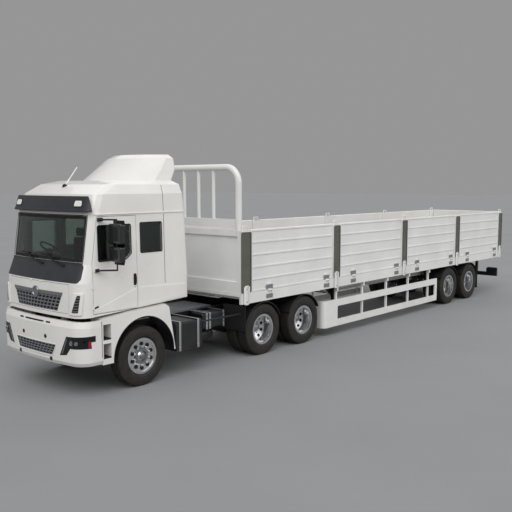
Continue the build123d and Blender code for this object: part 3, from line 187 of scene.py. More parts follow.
@dataclass(frozen=True)
class Paint:
    """Sprayed enamel: a clear gloss over a flat coat.

    Its panels differ faintly in tone, and road dust settles on their lower part.
    """

    name: str
    colour: str
    shade: str
    roughness: float = 0.35
    coat: float = 0.6
    dust: str = "#8f877c"
    dust_top: float = 0.9
    dust_share: float = 0.22
    peel_mm: float = 45.0

    def base(self, look: Look) -> Socket:
        """The colour over the whole piece, dust and all."""
        cloud = look.noise(700, 4.0)
        share = look.spread(cloud, 0.35, 0.65)
        panel = look.mix(share, self.colour, self.shade)
        height = look.add("SeparateXYZ", "Z", {0: look.place})
        low = look.spread(height, self.dust_top, 0.2)
        patch = look.noise(160, 6.0)
        thick = look.spread(patch, 0.3, 0.75, most=self.dust_share)
        film = look.maths("MULTIPLY", low, thick)
        return look.mix(film, panel, self.dust)

    def gloss(self, look: Look, colour: Socket) -> bpy.types.Material:
        """The enamel's shine: polishing haze in the roughness and a slow wave in the skin."""
        haze = look.noise(240, 3.0)
        rough = look.spread(haze, 0.3, 0.7, self.roughness - 0.04, self.roughness + 0.07)
        wave = look.noise(self.peel_mm, 0.0)
        skin = look.bump(wave, 0.2, 0.25)
        return look.shade({"Base Color": colour, "Roughness": rough, "Normal": skin,
                           "Coat Weight": self.coat, "Coat Roughness": 0.08, "IOR": 1.5})

    def build(self) -> bpy.types.Material:
        """Enamel all over."""
        look = Look(self.name)
        return self.gloss(look, self.base(look))


@dataclass(frozen=True)
class TwoTone(Paint):
    """Enamel with black mouldings beyond a border, on a node that is both."""

    # The black of the mouldings; on the fenders the same black is painted shade in the arches.
    dark: str = "#17181a"
    skin_reach: float = 1.192

    def half_width(self, look: Look) -> Socket:
        """How far a point lies from the lorry's middle plane."""
        across = look.add("SeparateXYZ", "X", {0: look.place})
        return look.maths("ABSOLUTE", across)

    def border(self, look: Look) -> Socket:
        """One where the node is black moulding: beyond the door's skin."""
        return look.maths("GREATER_THAN", self.half_width(look), self.skin_reach)

    def build(self) -> bpy.types.Material:
        """Enamel on one side of the border and grained black on the other."""
        look = Look(self.name)
        colour = look.mix(self.border(look), self.base(look), self.dark)
        return self.gloss(look, colour)


@dataclass(frozen=True)
class ArchShadePaint(TwoTone):
    """Bumper paint outside, and black as painted shade inside the wheel arch and inboard of the fender's skin, on the
    stays too.
    """

    radius: float = 0.671
    centre_height: float = 0.565
    fender_reach: float = 0.902

    def border(self, look: Look) -> Socket:
        """One where the black painted shade goes: inside the arch, and inboard of the fender's skin."""
        centred = look.add("VectorMath", 0, {0: look.place, 1: (0.0, FRONT_AXLE.y, self.centre_height)},
                           operation="SUBTRACT")
        flat = look.add("VectorMath", 0, {0: centred, 1: (0.0, 1.0, 1.0)}, operation="MULTIPLY")
        span = look.add("VectorMath", "Value", {0: flat}, operation="LENGTH")
        inside = look.maths("LESS_THAN", span, self.radius)
        inboard = look.maths("LESS_THAN", self.half_width(look), self.fender_reach)
        return look.maths("MAXIMUM", inside, inboard)


@dataclass(frozen=True)
class RearPaint(TwoTone):
    """White guards along the sides and a black bar across the tail, on one node."""

    tail_depth: float = 0.3

    def border(self, look: Look) -> Socket:
        """One at the tail."""
        along = look.add("SeparateXYZ", "Y", {0: look.place})
        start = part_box("trailer_deck")[1].y - self.tail_depth
        return look.maths("GREATER_THAN", along, start)


@dataclass(frozen=True)
class Plastic:
    """Moulded plastic with a spark-eroded grain, drawn as coarse as it needs to show."""

    name: str
    colour: str
    shade: str
    roughness: float = 0.5
    grain_mm: float = 5.0
    grain_depth_mm: float = 0.25

    def build(self) -> bpy.types.Material:
        """A leathery grain that breaks up the highlight, and a slow drift of tone."""
        look = Look(self.name)
        cells = look.add("TexVoronoi", "Distance", {"Vector": look.place, "Scale": per_metre(self.grain_mm)},
                         feature="SMOOTH_F1")
        drift = look.noise(220, 4.0)
        tone = look.spread(drift, 0.3, 0.7)
        rough = look.spread(cells, 0.0, 0.8, self.roughness - 0.06, self.roughness + 0.1)
        grain = look.bump(cells, self.grain_depth_mm, 0.5)
        colour = look.mix(tone, self.colour, self.shade)
        return look.shade({"Base Color": colour, "Roughness": rough, "Normal": grain, "IOR": 1.49})


@dataclass(frozen=True)
class Metal:
    """Bare or plated metal, with the lines that rolling, turning or brushing leaves.

    The lines stretch the highlight one way, and zinc flowers break up galvanised steel.
    """

    name: str
    colour: str
    shade: str
    roughness: float = 0.3
    grain_mm: float = 3.0
    run: tuple[float, float, float] = (1.0, 1.0, 1.0)
    spangle_mm: float = 60.0
    spangle_share: float = 0.15

    def build(self) -> bpy.types.Material:
        """Streaks along the working direction over a mottled tone."""
        look = Look(self.name)
        place = look.add("Mapping", 0, {"Vector": look.place, "Scale": self.run})
        streak = look.noise(self.grain_mm, 3.0, place)
        flowers = look.add("TexVoronoi", "Color", {"Vector": look.place, "Scale": per_metre(self.spangle_mm)})
        flower = look.add("SeparateColor", 0, {0: flowers})
        share = look.maths("MULTIPLY", flower, self.spangle_share)
        colour = look.mix(share, self.colour, self.shade)
        rough = look.spread(streak, 0.3, 0.7, self.roughness - 0.06, self.roughness + 0.1)
        lines = look.bump(streak, 0.05, 0.25)
        return look.shade({"Base Color": colour, "Roughness": rough, "Normal": lines, "Metallic": 1.0})


@dataclass(frozen=True)
class Rubber:
    """Carbon-black rubber, matt, greyed by a patchy film of dust."""

    name: str
    colour: str = "#1d1c1a"
    dust: str = "#4b463d"
    dust_share: float = 0.35

    def build(self) -> bpy.types.Material:
        """Fine mould grain under the dust."""
        look = Look(self.name)
        patch = look.noise(85, 6.0)
        film = look.spread(patch, 0.35, 0.8, most=self.dust_share)
        rough = look.spread(patch, 0.3, 0.7, 0.62, 0.8)
        fine = look.noise(4, 2.0)
        grain = look.bump(fine, 0.2, 0.4)
        colour = look.mix(film, self.colour, self.dust)
        return look.shade({"Base Color": colour, "Roughness": rough, "Normal": grain, "IOR": 1.52})


@dataclass(frozen=True)
class Glass:
    """Float glass with a body tint and the slow wave that drawing leaves in it."""

    name: str
    tint: str
    roughness: float = 0.02
    wave_mm: float = 300.0
    wave_depth_mm: float = 0.05

    def build(self) -> bpy.types.Material:
        """Clear glass with wiped smears and a faint upright wave."""
        look = Look(self.name)
        smear = look.noise(140, 3.0)
        rough = look.spread(smear, 0.35, 0.75, self.roughness, self.roughness + 0.03)
        waves = look.waves(self.wave_mm, "X")
        skin = look.bump(waves, self.wave_depth_mm, 0.5)
        return look.shade({"Base Color": self.tint, "Roughness": rough, "Normal": skin,
                           "Transmission Weight": 1.0, "IOR": 1.5})


@dataclass(frozen=True)
class Timber:
    """Sealed hardwood planking: long grain, a tone of its own for each plank, dark joints."""

    name: str = "keruing_planking"
    colour: str = "#7d6247"
    shade: str = "#5c4632"
    joint: str = "#1f1914"
    plank_mm: float = 140.0
    gap_mm: float = 4.0

    def build(self) -> bpy.types.Material:
        """Planks that run along the bed."""
        look = Look(self.name)
        side = look.add("SeparateXYZ", "X", {0: look.place})
        across = look.maths("DIVIDE", side, self.plank_mm * MM)
        number = look.maths("FLOOR", across)
        own = look.add("TexWhiteNoise", "Value", {"W": number}, noise_dimensions="1D")
        long = look.add("Mapping", 0, {"Vector": look.place, "Scale": (1.0, 0.04, 1.0)})
        grain = look.noise(9, 6.0, long)
        tone = look.add("Mix", 0, {0: 0.5, 2: own, 3: grain})
        wood = look.mix(tone, self.colour, self.shade)
        edge = look.maths("PINGPONG", across, 0.5)
        joint = look.maths("LESS_THAN", edge, self.gap_mm / self.plank_mm / 2)
        colour = look.mix(joint, wood, self.joint)
        rough = look.spread(grain, 0.3, 0.7, 0.5, 0.75)
        drop = look.maths("SUBTRACT", grain, joint)
        relief = look.bump(drop, 1.0, 0.5)
        return look.shade({"Base Color": colour, "Roughness": rough, "Normal": relief, "IOR": 1.5})


@dataclass(frozen=True)
class Cloth:
    """Woven seat cloth: crossed threads, drawn coarser than real so that the weave shows."""

    name: str
    colour: str
    shade: str
    thread_mm: float = 6.0

    def build(self) -> bpy.types.Material:
        """A weave with a soft sheen at glancing angles."""
        look = Look(self.name)
        warp = look.waves(self.thread_mm, "X")
        weft = look.waves(self.thread_mm, "DIAGONAL")
        weave = look.maths("MULTIPLY", warp, weft)
        colour = look.mix(weave, self.shade, self.colour)
        relief = look.bump(weave, 0.5, 0.6)
        return look.shade({"Base Color": colour, "Normal": relief, "Roughness": 0.9, "Sheen Weight": 0.3,
                           "Sheen Roughness": 0.5, "IOR": 1.45})


class Finish(Enum):
    """Every finish on the lorry."""

    CAB_PAINT = Paint("white_cab_enamel", "#e8e7e3", "#e1e0dc", 0.3, 0.7)
    DOOR_PAINT = TwoTone("white_door_enamel", "#e8e7e3", "#e1e0dc", 0.3, 0.7)
    BED_PAINT = Paint("white_bed_enamel", "#e9e9e7", "#e1e1df", 0.42, 0.3, dust_share=0.12)
    FRONT_PLASTIC = Paint("white_painted_bumper", "#e7e6e2", "#e0dfdb", 0.32, 0.6, dust_share=0.12)
    # White fender enamel with black painted shade inside the wheel arches.
    ARCH_SHADE_PAINT = ArchShadePaint("white_fender_enamel_with_arch_shade", "#e7e6e2", "#e0dfdb", 0.32, 0.6, dust_share=0.12)
    GUARD_PAINT = RearPaint("white_guard_enamel", "#e9e9e7", "#e1e1df", 0.42, 0.3, dust_share=0.12)
    POST_PAINT = Paint("olive_grey_enamel", "#62625a", "#56564e", 0.5, 0.2)
    CHASSIS_PAINT = Paint("black_chassis_enamel", "#191a1c", "#131416", 0.45, 0.3, dust="#5d564d")
    CAST_IRON = Paint("painted_cast_iron", "#242527", "#1d1e20", 0.6, 0.1, dust="#5d564d", dust_share=0.4)
    # Black for the panel joints and seams, and also painted shade in openings: behind the grille meshes and the
    # louvres, in the bumper's slots and in the wheels' hand holes.
    JOINT_AND_SHADE_BLACK = Plastic("black_joint_sealer_and_painted_shade", "#101112", "#0c0d0e", 0.7)
    OPAL = Plastic("opal_acrylic", "#ecece8", "#e2e2de", 0.25, 9.0, 0.1)
    DARK_PLASTIC = Plastic("charcoal_painted_abs", "#34353b", "#2e2f35", 0.36, 3.0, 0.05)
    BLACK_PLASTIC = Plastic("black_grained_pp", "#1a1b1c", "#141415", 0.5)
    GUARD_PLASTIC = Plastic("black_mudguard_pe", "#161617", "#202021", 0.55, 8.0)
    SMOKED = Plastic("smoked_acrylic", "#121315", "#0d0e10", 0.12, 20.0, 0.02)
    INTERIOR = Plastic("grey_dash_pvc", "#3c3d41", "#333438", 0.6, 4.0)
    SEAT_CLOTH = Cloth("woven_seat_cloth", "#4a4d55", "#2c2e34")
    MATTRESS = Cloth("quilted_bunk_cloth", "#7b7468", "#565047")
    GREY_TRIM = Plastic("satin_grey_abs", "#74767a", "#6a6c70", 0.3, 9.0, 0.05)
    SATIN = Metal("satin_nickel", "#a2a4a7", "#8d9093", 0.3, 8.0)
    CHROME = Metal("chrome_plate", "#e6e7e8", "#dfe0e2", 0.12, 20.0)
    STEEL = Metal("brushed_stainless_steel", "#d6d7d8", "#c9cacc", 0.26, 2.0, (1.0, 0.1, 1.0))
    GALVANISED = Metal("galvanised_steel", "#c3c5c7", "#9da0a3", 0.4, 6.0, spangle_mm=22.0, spangle_share=0.6)
    RIM_STEEL = Metal("polished_wheel_alloy", "#dcddde", "#cfd0d2", 0.24, 3.0)
    MIRROR = Metal("silvered_mirror", "#eceeef", "#e9ebec", 0.07, 60.0)
    TYRE = Rubber("tyre_rubber")
    SEAL = Rubber("epdm_seal", "#121213", "#262626", 0.2)
    WINDSCREEN = Glass("green_tinted_glass", "#a9b8b1")
    AMBER = Plastic("amber_reflector", "#d9741a", "#c76410", 0.25, 9.0, 0.3)
    RED = Plastic("red_reflector", "#a8161a", "#8f1014", 0.25, 9.0, 0.3)
    PLANKS = Timber()


MATERIALS: dict[Finish, bpy.types.Material] = {}


def material(finish: Finish) -> bpy.types.Material:
    """Return a finish's material, made at its first use."""
    if finish not in MATERIALS:
        MATERIALS[finish] = finish.value.build()
    return MATERIALS[finish]


# ------------------------------------------------------------------ modelling
class Bench:
    """Modelling operators, each on the one piece that is worked on."""

    @staticmethod
    def clear() -> None:
        """Deselect everything, so that an operator meets only its own piece."""
        if bpy.context.object and bpy.context.object.mode != "OBJECT":
            bpy.ops.object.mode_set(mode="OBJECT")
        bpy.ops.object.select_all(action="DESELECT")

    @staticmethod
    def take(piece: Piece) -> None:
        """Make a piece the only selected and active one."""
        Bench.clear()
        piece.select_set(True)
        bpy.context.view_layer.objects.active = piece

    @staticmethod
    def edit_all() -> None:
        """Enter edit mode with the whole active mesh picked."""
        bpy.ops.object.mode_set(mode="EDIT")
        bpy.ops.mesh.select_all(action="SELECT")

    @staticmethod
    def settle(name: str) -> Piece:
        """Name the active object and put its place into its mesh."""
        piece = bpy.context.object
        piece.name = name
        bpy.ops.object.transform_apply(location=True, rotation=True, scale=True)
        return piece

    @staticmethod
    def block(name: str, low: Point, high: Point, edge: float = 0.0) -> Piece:
        """A box between two corners, with its edges rounded by a width."""
        Bench.clear()
        centre = [(a + b) / 2 for a, b in zip(low, high)]
        bpy.ops.mesh.primitive_cube_add(size=1, location=centre)
        bpy.context.object.scale = [abs(b - a) for a, b in zip(low, high)]
        piece = Bench.settle(name)
        return Bench.round_off(piece, edge) if edge else piece

    @staticmethod
    def rod(name: str, start: Point, end: Point, radius: float, sides: int = 24,
            end_radius: float | None = None, edge: float = 0.0) -> Piece:
        """A round bar or a cone between two points, with its ends chamfered by a width."""
        Bench.clear()
        run = Vector(end) - Vector(start)
        centre = (Vector(start) + Vector(end)) / 2
        turn = run.to_track_quat("Z", "Y").to_euler()
        bpy.ops.mesh.primitive_cone_add(vertices=sides, radius1=radius, depth=run.length, location=centre,
                                        radius2=radius if end_radius is None else end_radius, rotation=turn)
        piece = Bench.settle(name)
        return Bench.round_off(piece, edge, 2, 50.0) if edge else piece

    @staticmethod
    def tube(name: str, points: Iterable[Point], radius: float, closed: bool = False, corner: float = 0.0,
             resolution: int = 3) -> Piece:
        """A bent round bar along points, its corners rounded by a radius."""
        Bench.clear()
        places = Bench.rounded([Vector(p) for p in points], corner, closed) if corner else list(points)
        curve = bpy.data.curves.new(name, "CURVE")
        curve.dimensions = "3D"
        spline = curve.splines.new("POLY")
        spline.points.add(len(places) - 1)
        for knot, place in zip(spline.points, places):
            knot.co = (*place, 1.0)
        spline.use_cyclic_u = closed
        curve.bevel_depth = radius
        curve.bevel_resolution = resolution
        curve.use_fill_caps = True
        piece = bpy.data.objects.new(name, curve)
        bpy.context.scene.collection.objects.link(piece)
        Bench.take(piece)
        bpy.ops.object.convert(target="MESH")
        return Bench.settle(name)

    @staticmethod
    def rounded(points: Sequence[Vector], radius: float, closed: bool) -> list[Vector]:
        """The same line with each corner replaced by a short bend."""
        bent = []
        count = len(points)
        for index, point in enumerate(points):
            if not closed and index in (0, count - 1):
                bent.append(point)
                continue
            before, after = points[index - 1] - point, points[(index + 1) % count] - point
            reach = min(radius, before.length * 0.45, after.length * 0.45)
            start, end = point + before.normalized() * reach, point + after.normalized() * reach
            for step in range(5):
                share = step / 4
                bent.append(start.lerp(point, share).lerp(point.lerp(end, share), share))
        return bent

    @staticmethod
    def plate(name: str, outline: Sequence[Point], push: Point, edge: float = 0.0) -> Piece:
        """A flat outline pushed out to a thickness.

        Args:
            name: the piece's name.
            outline: its corners in order, in one plane.
            push: how far and which way the outline is extruded.
            edge: how much its edges are rounded.

        Returns:
            A closed prism.
        """
        Bench.clear()
        bpy.ops.mesh.primitive_circle_add(vertices=len(outline), fill_type="NGON")
        piece = Bench.settle(name)
        for vertex, place in zip(piece.data.vertices, outline):
            vertex.co = place
        Bench.edit_all()
        bpy.ops.mesh.extrude_region_move(TRANSFORM_OT_translate={"value": tuple(push)})
        Bench.outward()
        return Bench.round_off(piece, edge) if edge else piece

    @staticmethod
    def outward() -> None:
        """In edit mode, merge doubles, turn every face outwards and leave edit mode."""
        bpy.ops.mesh.select_all(action="SELECT")
        bpy.ops.mesh.remove_doubles(threshold=0.00005)
        bpy.ops.mesh.normals_make_consistent(inside=False)
        bpy.ops.object.mode_set(mode="OBJECT")

    @staticmethod
    def lathe(name: str, profile: Sequence[Pair], centre: Point, axis: Point = LEFT, steps: int = 48) -> Piece:
        """A turned piece.

        Args:
            name: the piece's name.
            profile: a closed section as (distance along the axis, distance from it).
            centre: the point on the axis that those distances start from.
            axis: the turning axis.
            steps: how many facets it has round it.

        Returns:
            The turned piece, with its faces outwards.
        """
        Bench.clear()
        line = Vector(axis).normalized()
        side = line.orthogonal().normalized()
        origin = Vector(centre)
        bpy.ops.mesh.primitive_circle_add(vertices=len(profile), fill_type="NOTHING")
        piece = Bench.settle(name)
        for vertex, (along, radius) in zip(piece.data.vertices, profile):
            vertex.co = origin + line * along + side * radius
        Bench.edit_all()
        bpy.ops.mesh.spin(steps=steps, angle=2 * math.pi, center=origin, axis=line)
        Bench.outward()
        return piece

    @staticmethod
    def ring_of(piece: Piece, count: int, centre: Point, axis: Point = LEFT) -> Piece:
        """The piece repeated at equal steps round an axis."""
        Bench.take(piece)
        Bench.edit_all()
        bpy.ops.mesh.spin(steps=count - 1, dupli=True, angle=2 * math.pi * (count - 1) / count,
                          center=centre, axis=axis)
        bpy.ops.object.mode_set(mode="OBJECT")
        return piece

    @staticmethod
    def pick_faces(piece: Piece, wanted: Callable[[Vector, Vector], bool]) -> None:
        """Enter edit mode with the faces selected whose centre and normal pass a test."""
        Bench.take(piece)
        bpy.ops.object.mode_set(mode="EDIT")
        bpy.ops.mesh.select_mode(type="FACE")
        bpy.ops.mesh.select_all(action="DESELECT")
        bpy.ops.object.mode_set(mode="OBJECT")
        for face in piece.data.polygons:
            face.select = wanted(face.center, face.normal)
        bpy.ops.object.mode_set(mode="EDIT")

    @staticmethod
    def sink(piece: Piece, wanted: Callable[[Vector, Vector], bool], margin: float, depth: float,
             each: bool = False) -> Piece:
        """Inset the wanted faces, together or each alone, and push them in by a depth."""
        Bench.pick_faces(piece, wanted)
        bpy.ops.mesh.inset(thickness=margin, depth=0, use_individual=each)
        bpy.ops.mesh.inset(thickness=min(margin / 4, 0.001), depth=-depth, use_individual=each)
        bpy.ops.object.mode_set(mode="OBJECT")
        return piece

    @staticmethod
    def divided(piece: Piece, cuts: int) -> Piece:
        """Cut every edge of a piece at equal steps."""
        Bench.take(piece)
        Bench.edit_all()
        bpy.ops.mesh.subdivide(number_cuts=cuts)
        bpy.ops.object.mode_set(mode="OBJECT")
        return piece

    @staticmethod
    def modify(piece: Piece, kind: str, **settings: object) -> Piece:
        """Add a modifier with its settings and apply it."""
        Bench.take(piece)
        modifier = piece.modifiers.new(kind.lower(), kind)
        for key, value in settings.items():
            setattr(modifier, key, value)
        bpy.ops.object.modifier_apply(modifier=modifier.name)
        return piece

    @staticmethod
    def round_off(piece: Piece, width: float, segments: int = 3, angle: float = 35.0) -> Piece:
        """Round every edge sharper than an angle."""
        return Bench.modify(piece, "BEVEL", width=width, segments=segments, limit_method="ANGLE",
                            angle_limit=math.radians(angle))

    @staticmethod
    def touch(node: str, start: Point, way: Point) -> tuple[Vector, Vector] | None:
        """Where a line from a point first meets a CAD node, and the surface's direction there."""
        hit, place, normal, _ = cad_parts[node].ray_cast(Vector(start), Vector(way).normalized())
        if not hit:
            return None
        return place, normal if normal.dot(Vector(way)) < 0 else -normal

    @staticmethod
    def on_surface(node: str, way: Point = BACK, lift: float = 0.0,
                   start: float = OUTSIDE) -> Callable[[float, float], Vector]:
        """A rule that presses a point onto a CAD surface.

        Args:
            node: the CAD node.
            way: the direction of pressing, along the x or y axis.
            lift: the gap left over the surface.
            start: how far from the origin, against that direction, the pressing starts.

        Returns:
            A function of (across, up) that gives the place.
        """
        press = Vector(way)
        last = [0.0]

        def place(across: float, up: float) -> Vector:
            """The place on the surface, or level with the last one beyond its edge."""
            flat = Vector((0.0, across, up)) if abs(press.x) > 0.5 else Vector((across, 0.0, up))
            met = Bench.touch(node, flat - press * start, press)
            if met:
                last[0] = (met[0] + met[1] * lift).dot(press)
                return met[0] + met[1] * lift
            return flat + press * last[0]

        return place

    @staticmethod
    def sheet(name: str, corners: Sequence[Pair], cells: tuple[int, int], onto: Callable[[float, float], Vector],
              corner: float = 0.0, slant: float = 0.0) -> Piece:
        """A curved sheet without a wall.

        Args:
            name: the piece's name.
            corners: left-bottom, right-bottom, right-top, left-top, as (across, up).
            cells: how finely it is divided across and up.
            onto: gives the place of (across, up).
            corner: the radius of its rounded corners.
            slant: how far its upright lines lean, as a share of its width.

        Returns:
            The sheet.
        """
        Bench.clear()
        bpy.ops.mesh.primitive_grid_add(x_subdivisions=cells[0], y_subdivisions=cells[1], size=2)
        piece = Bench.settle(name)
        for vertex in piece.data.vertices:
            share, up = (vertex.co.x + 1) / 2, (vertex.co.y + 1) / 2
            share += slant * (up - 0.5) * 4 * share * (1 - share)
            low, high = ([a + (b - a) * share for a, b in zip(*pair)]
                         for pair in ((corners[0], corners[1]), (corners[3], corners[2])))
            inside = corner - min(share, 1 - share) * abs(corners[1][0] - corners[0][0])
            rise = corner - math.sqrt(max(corner ** 2 - inside ** 2, 0.0)) if inside > 0 else 0.0
            height = low[1] + rise + (high[1] - low[1] - 2 * rise) * up
            vertex.co = onto(low[0] + (high[0] - low[0]) * up, height)
        return piece

    @staticmethod
    def wall(piece: Piece, thick: float, outside: Point) -> Piece:
        """Give a sheet a wall towards the outside."""
        if sum((face.normal * face.area for face in piece.data.polygons), Vector()).dot(Vector(outside)) < 0:
            piece.data.flip_normals()
        return Bench.modify(piece, "SOLIDIFY", thickness=thick, offset=1.0)

    @staticmethod
    def wrap(name: str, node: str, corners: Sequence[Pair], cells: tuple[int, int], lift: float, thick: float,
             way: Point = BACK, start: float = OUTSIDE, corner: float = 0.0) -> Piece:
        """A panel that follows a CAD surface, with the arguments of sheet and on_surface."""
        sheet = Bench.sheet(name, corners, cells, Bench.on_surface(node, way, lift, start), corner)
        return Bench.wall(sheet, thick, -Vector(way))

    @staticmethod
    def lattice(piece: Piece, bar: float, thick: float, outside: Point) -> Piece:
        """Open every cell of a sheet, leaving bars of twice a width between them."""
        Bench.pick_faces(piece, lambda centre, normal: True)
        bpy.ops.mesh.inset(thickness=bar, depth=0, use_individual=True)
        bpy.ops.mesh.delete(type="FACE")
        bpy.ops.object.mode_set(mode="OBJECT")
        return Bench.wall(piece, thick, outside)

    @staticmethod
    def carve(piece: Piece, wanted: Callable[[Vector, Vector], bool], thick: float, outside: Point) -> Piece:
        """Delete the wanted faces of a sheet and give the rest a wall."""
        Bench.pick_faces(piece, wanted)
        bpy.ops.mesh.delete(type="FACE")
        bpy.ops.object.mode_set(mode="OBJECT")
        return Bench.wall(piece, thick, outside)

    @staticmethod
    def copied(piece: Piece, name: str, move: Point = (0.0, 0.0, 0.0)) -> Piece:
        """A copy with its own mesh, moved by a distance."""
        Bench.take(piece)
        bpy.ops.object.duplicate(linked=False)
        bpy.context.object.location = move
        return Bench.settle(name)

    @staticmethod
    def moved(piece: Piece, swing: Matrix) -> Piece:
        """The piece itself, moved by a matrix."""
        Bench.take(piece)
        piece.matrix_world = swing
        return Bench.settle(piece.name)

    @staticmethod
    def mirrored(piece: Piece, name: str) -> Piece:
        """A copy on the other side of the lorry, with its faces outwards again."""
        twin = Bench.copied(piece, name)
        twin.scale = (-1.0, 1.0, 1.0)
        Bench.take(twin)
        Bench.settle(name)
        bpy.ops.object.mode_set(mode="EDIT")
        Bench.outward()
        return twin

    @staticmethod
    def joined(name: str, pieces: Sequence[Piece]) -> Piece:
        """Several meshes as one piece."""
        Bench.clear()
        for piece in pieces:
            piece.select_set(True)
        bpy.context.view_layer.objects.active = pieces[0]
        if len(pieces) > 1:
            bpy.ops.object.join()
        return Bench.settle(name)


class Side(Enum):
    """The lorry's two sides, with the sign of x on each."""

    LEFT = ("left", 1)
    RIGHT = ("right", -1)

    @property
    def word(self) -> str:
        """The side's name in nodes and bodies."""
        return self.value[0]

    @property
    def sign(self) -> int:
        """The sign of x on this side."""
        return self.value[1]


class Assembly:
    """A group of pieces on the same part of the lorry."""

    def place(self, piece: Piece, body: str, finish: Finish, slot: str = "dark_plastic", smooth: float = 40.0,
              instead_of: Sequence[str] = ()) -> Piece:
        """Dress a piece and let it ride on a body.

        Args:
            piece: the finished mesh.
            body: the CAD body it moves with.
            finish: its material.
            slot: the record's material slot; not used.
            smooth: edges under this angle are shaded smooth, in degrees.
            instead_of: CAD nodes that it stands for.

        Returns:
            The same piece.
        """
        piece.data.materials.clear()
        piece.data.materials.append(material(finish))
        Bench.take(piece)
        bpy.ops.object.shade_smooth_by_angle(angle=math.radians(smooth))
        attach(piece, body)
        if instead_of:
            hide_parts(*instead_of)
        LOG.info("piece %s on %s, %d faces", piece.name, body, len(piece.data.polygons))
        return piece

    def both(self, piece: Piece, bodies: str | tuple[str, str], finish: Finish,
             slot: str = "dark_plastic", smooth: float = 40.0) -> None:
        """Place a left-hand piece and its mirror image, named with the side at their end.

        Args:
            piece: the finished left-hand mesh.
            bodies: the body of both, or the left one's and the right one's.
            finish: their material.
            slot: the record's material slot.
            smooth: edges under this angle are shaded smooth, in degrees.
        """
        if isinstance(bodies, str):
            bodies = (bodies, bodies)
        stem = piece.name
        twin = Bench.mirrored(piece, stem + "_right")
        piece.name = stem + "_left"
        self.place(piece, bodies[0], finish, slot, smooth)
        self.place(twin, bodies[1], finish, slot, smooth)


NODE_FINISHES: dict[str, Finish] = {
    "tractor_frame": Finish.CHASSIS_PAINT, "chassis_tanks": Finish.CHASSIS_PAINT,
    "landing_legs": Finish.CHASSIS_PAINT, "tractor_axles": Finish.CAST_IRON,
    "engine_block": Finish.CAST_IRON, "fifth_wheel": Finish.CAST_IRON,
    "knuckle_left": Finish.CAST_IRON, "knuckle_right": Finish.CAST_IRON,
    "trailer_axles": Finish.CAST_IRON, "front_bumper": Finish.FRONT_PLASTIC,
    "front_fenders": Finish.ARCH_SHADE_PAINT, "headlamps": Finish.SMOKED,
    "rear_mudguards": Finish.GUARD_PLASTIC, "trailer_mudguards": Finish.GUARD_PLASTIC,
    "cab_shell": Finish.CAB_PAINT, "door_left": Finish.DOOR_PAINT, "door_right": Finish.DOOR_PAINT,
    "front_flap": Finish.CAB_PAINT, "roof_deflector": Finish.CAB_PAINT,
    "windscreen": Finish.WINDSCREEN, "cab_side_glass": Finish.WINDSCREEN,
    "door_left_glass": Finish.WINDSCREEN, "door_right_glass": Finish.WINDSCREEN,
    "sun_visor": Finish.DARK_PLASTIC, "cab_dashboard": Finish.INTERIOR, "cab_seats": Finish.SEAT_CLOTH,
    "underrun_guards": Finish.GUARD_PAINT, "trailer_deck": Finish.PLANKS,
}


def dress_nodes() -> None:
    """Give every CAD node its material."""
    for name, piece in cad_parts.items():
        kind = Finish.TYRE if "tyre" in name else Finish.RIM_STEEL if "rim" in name else Finish.BED_PAINT
        piece.data.materials.clear()
        piece.data.materials.append(material(NODE_FINISHES.get(name, kind)))
        LOG.info("node %s dressed", name)


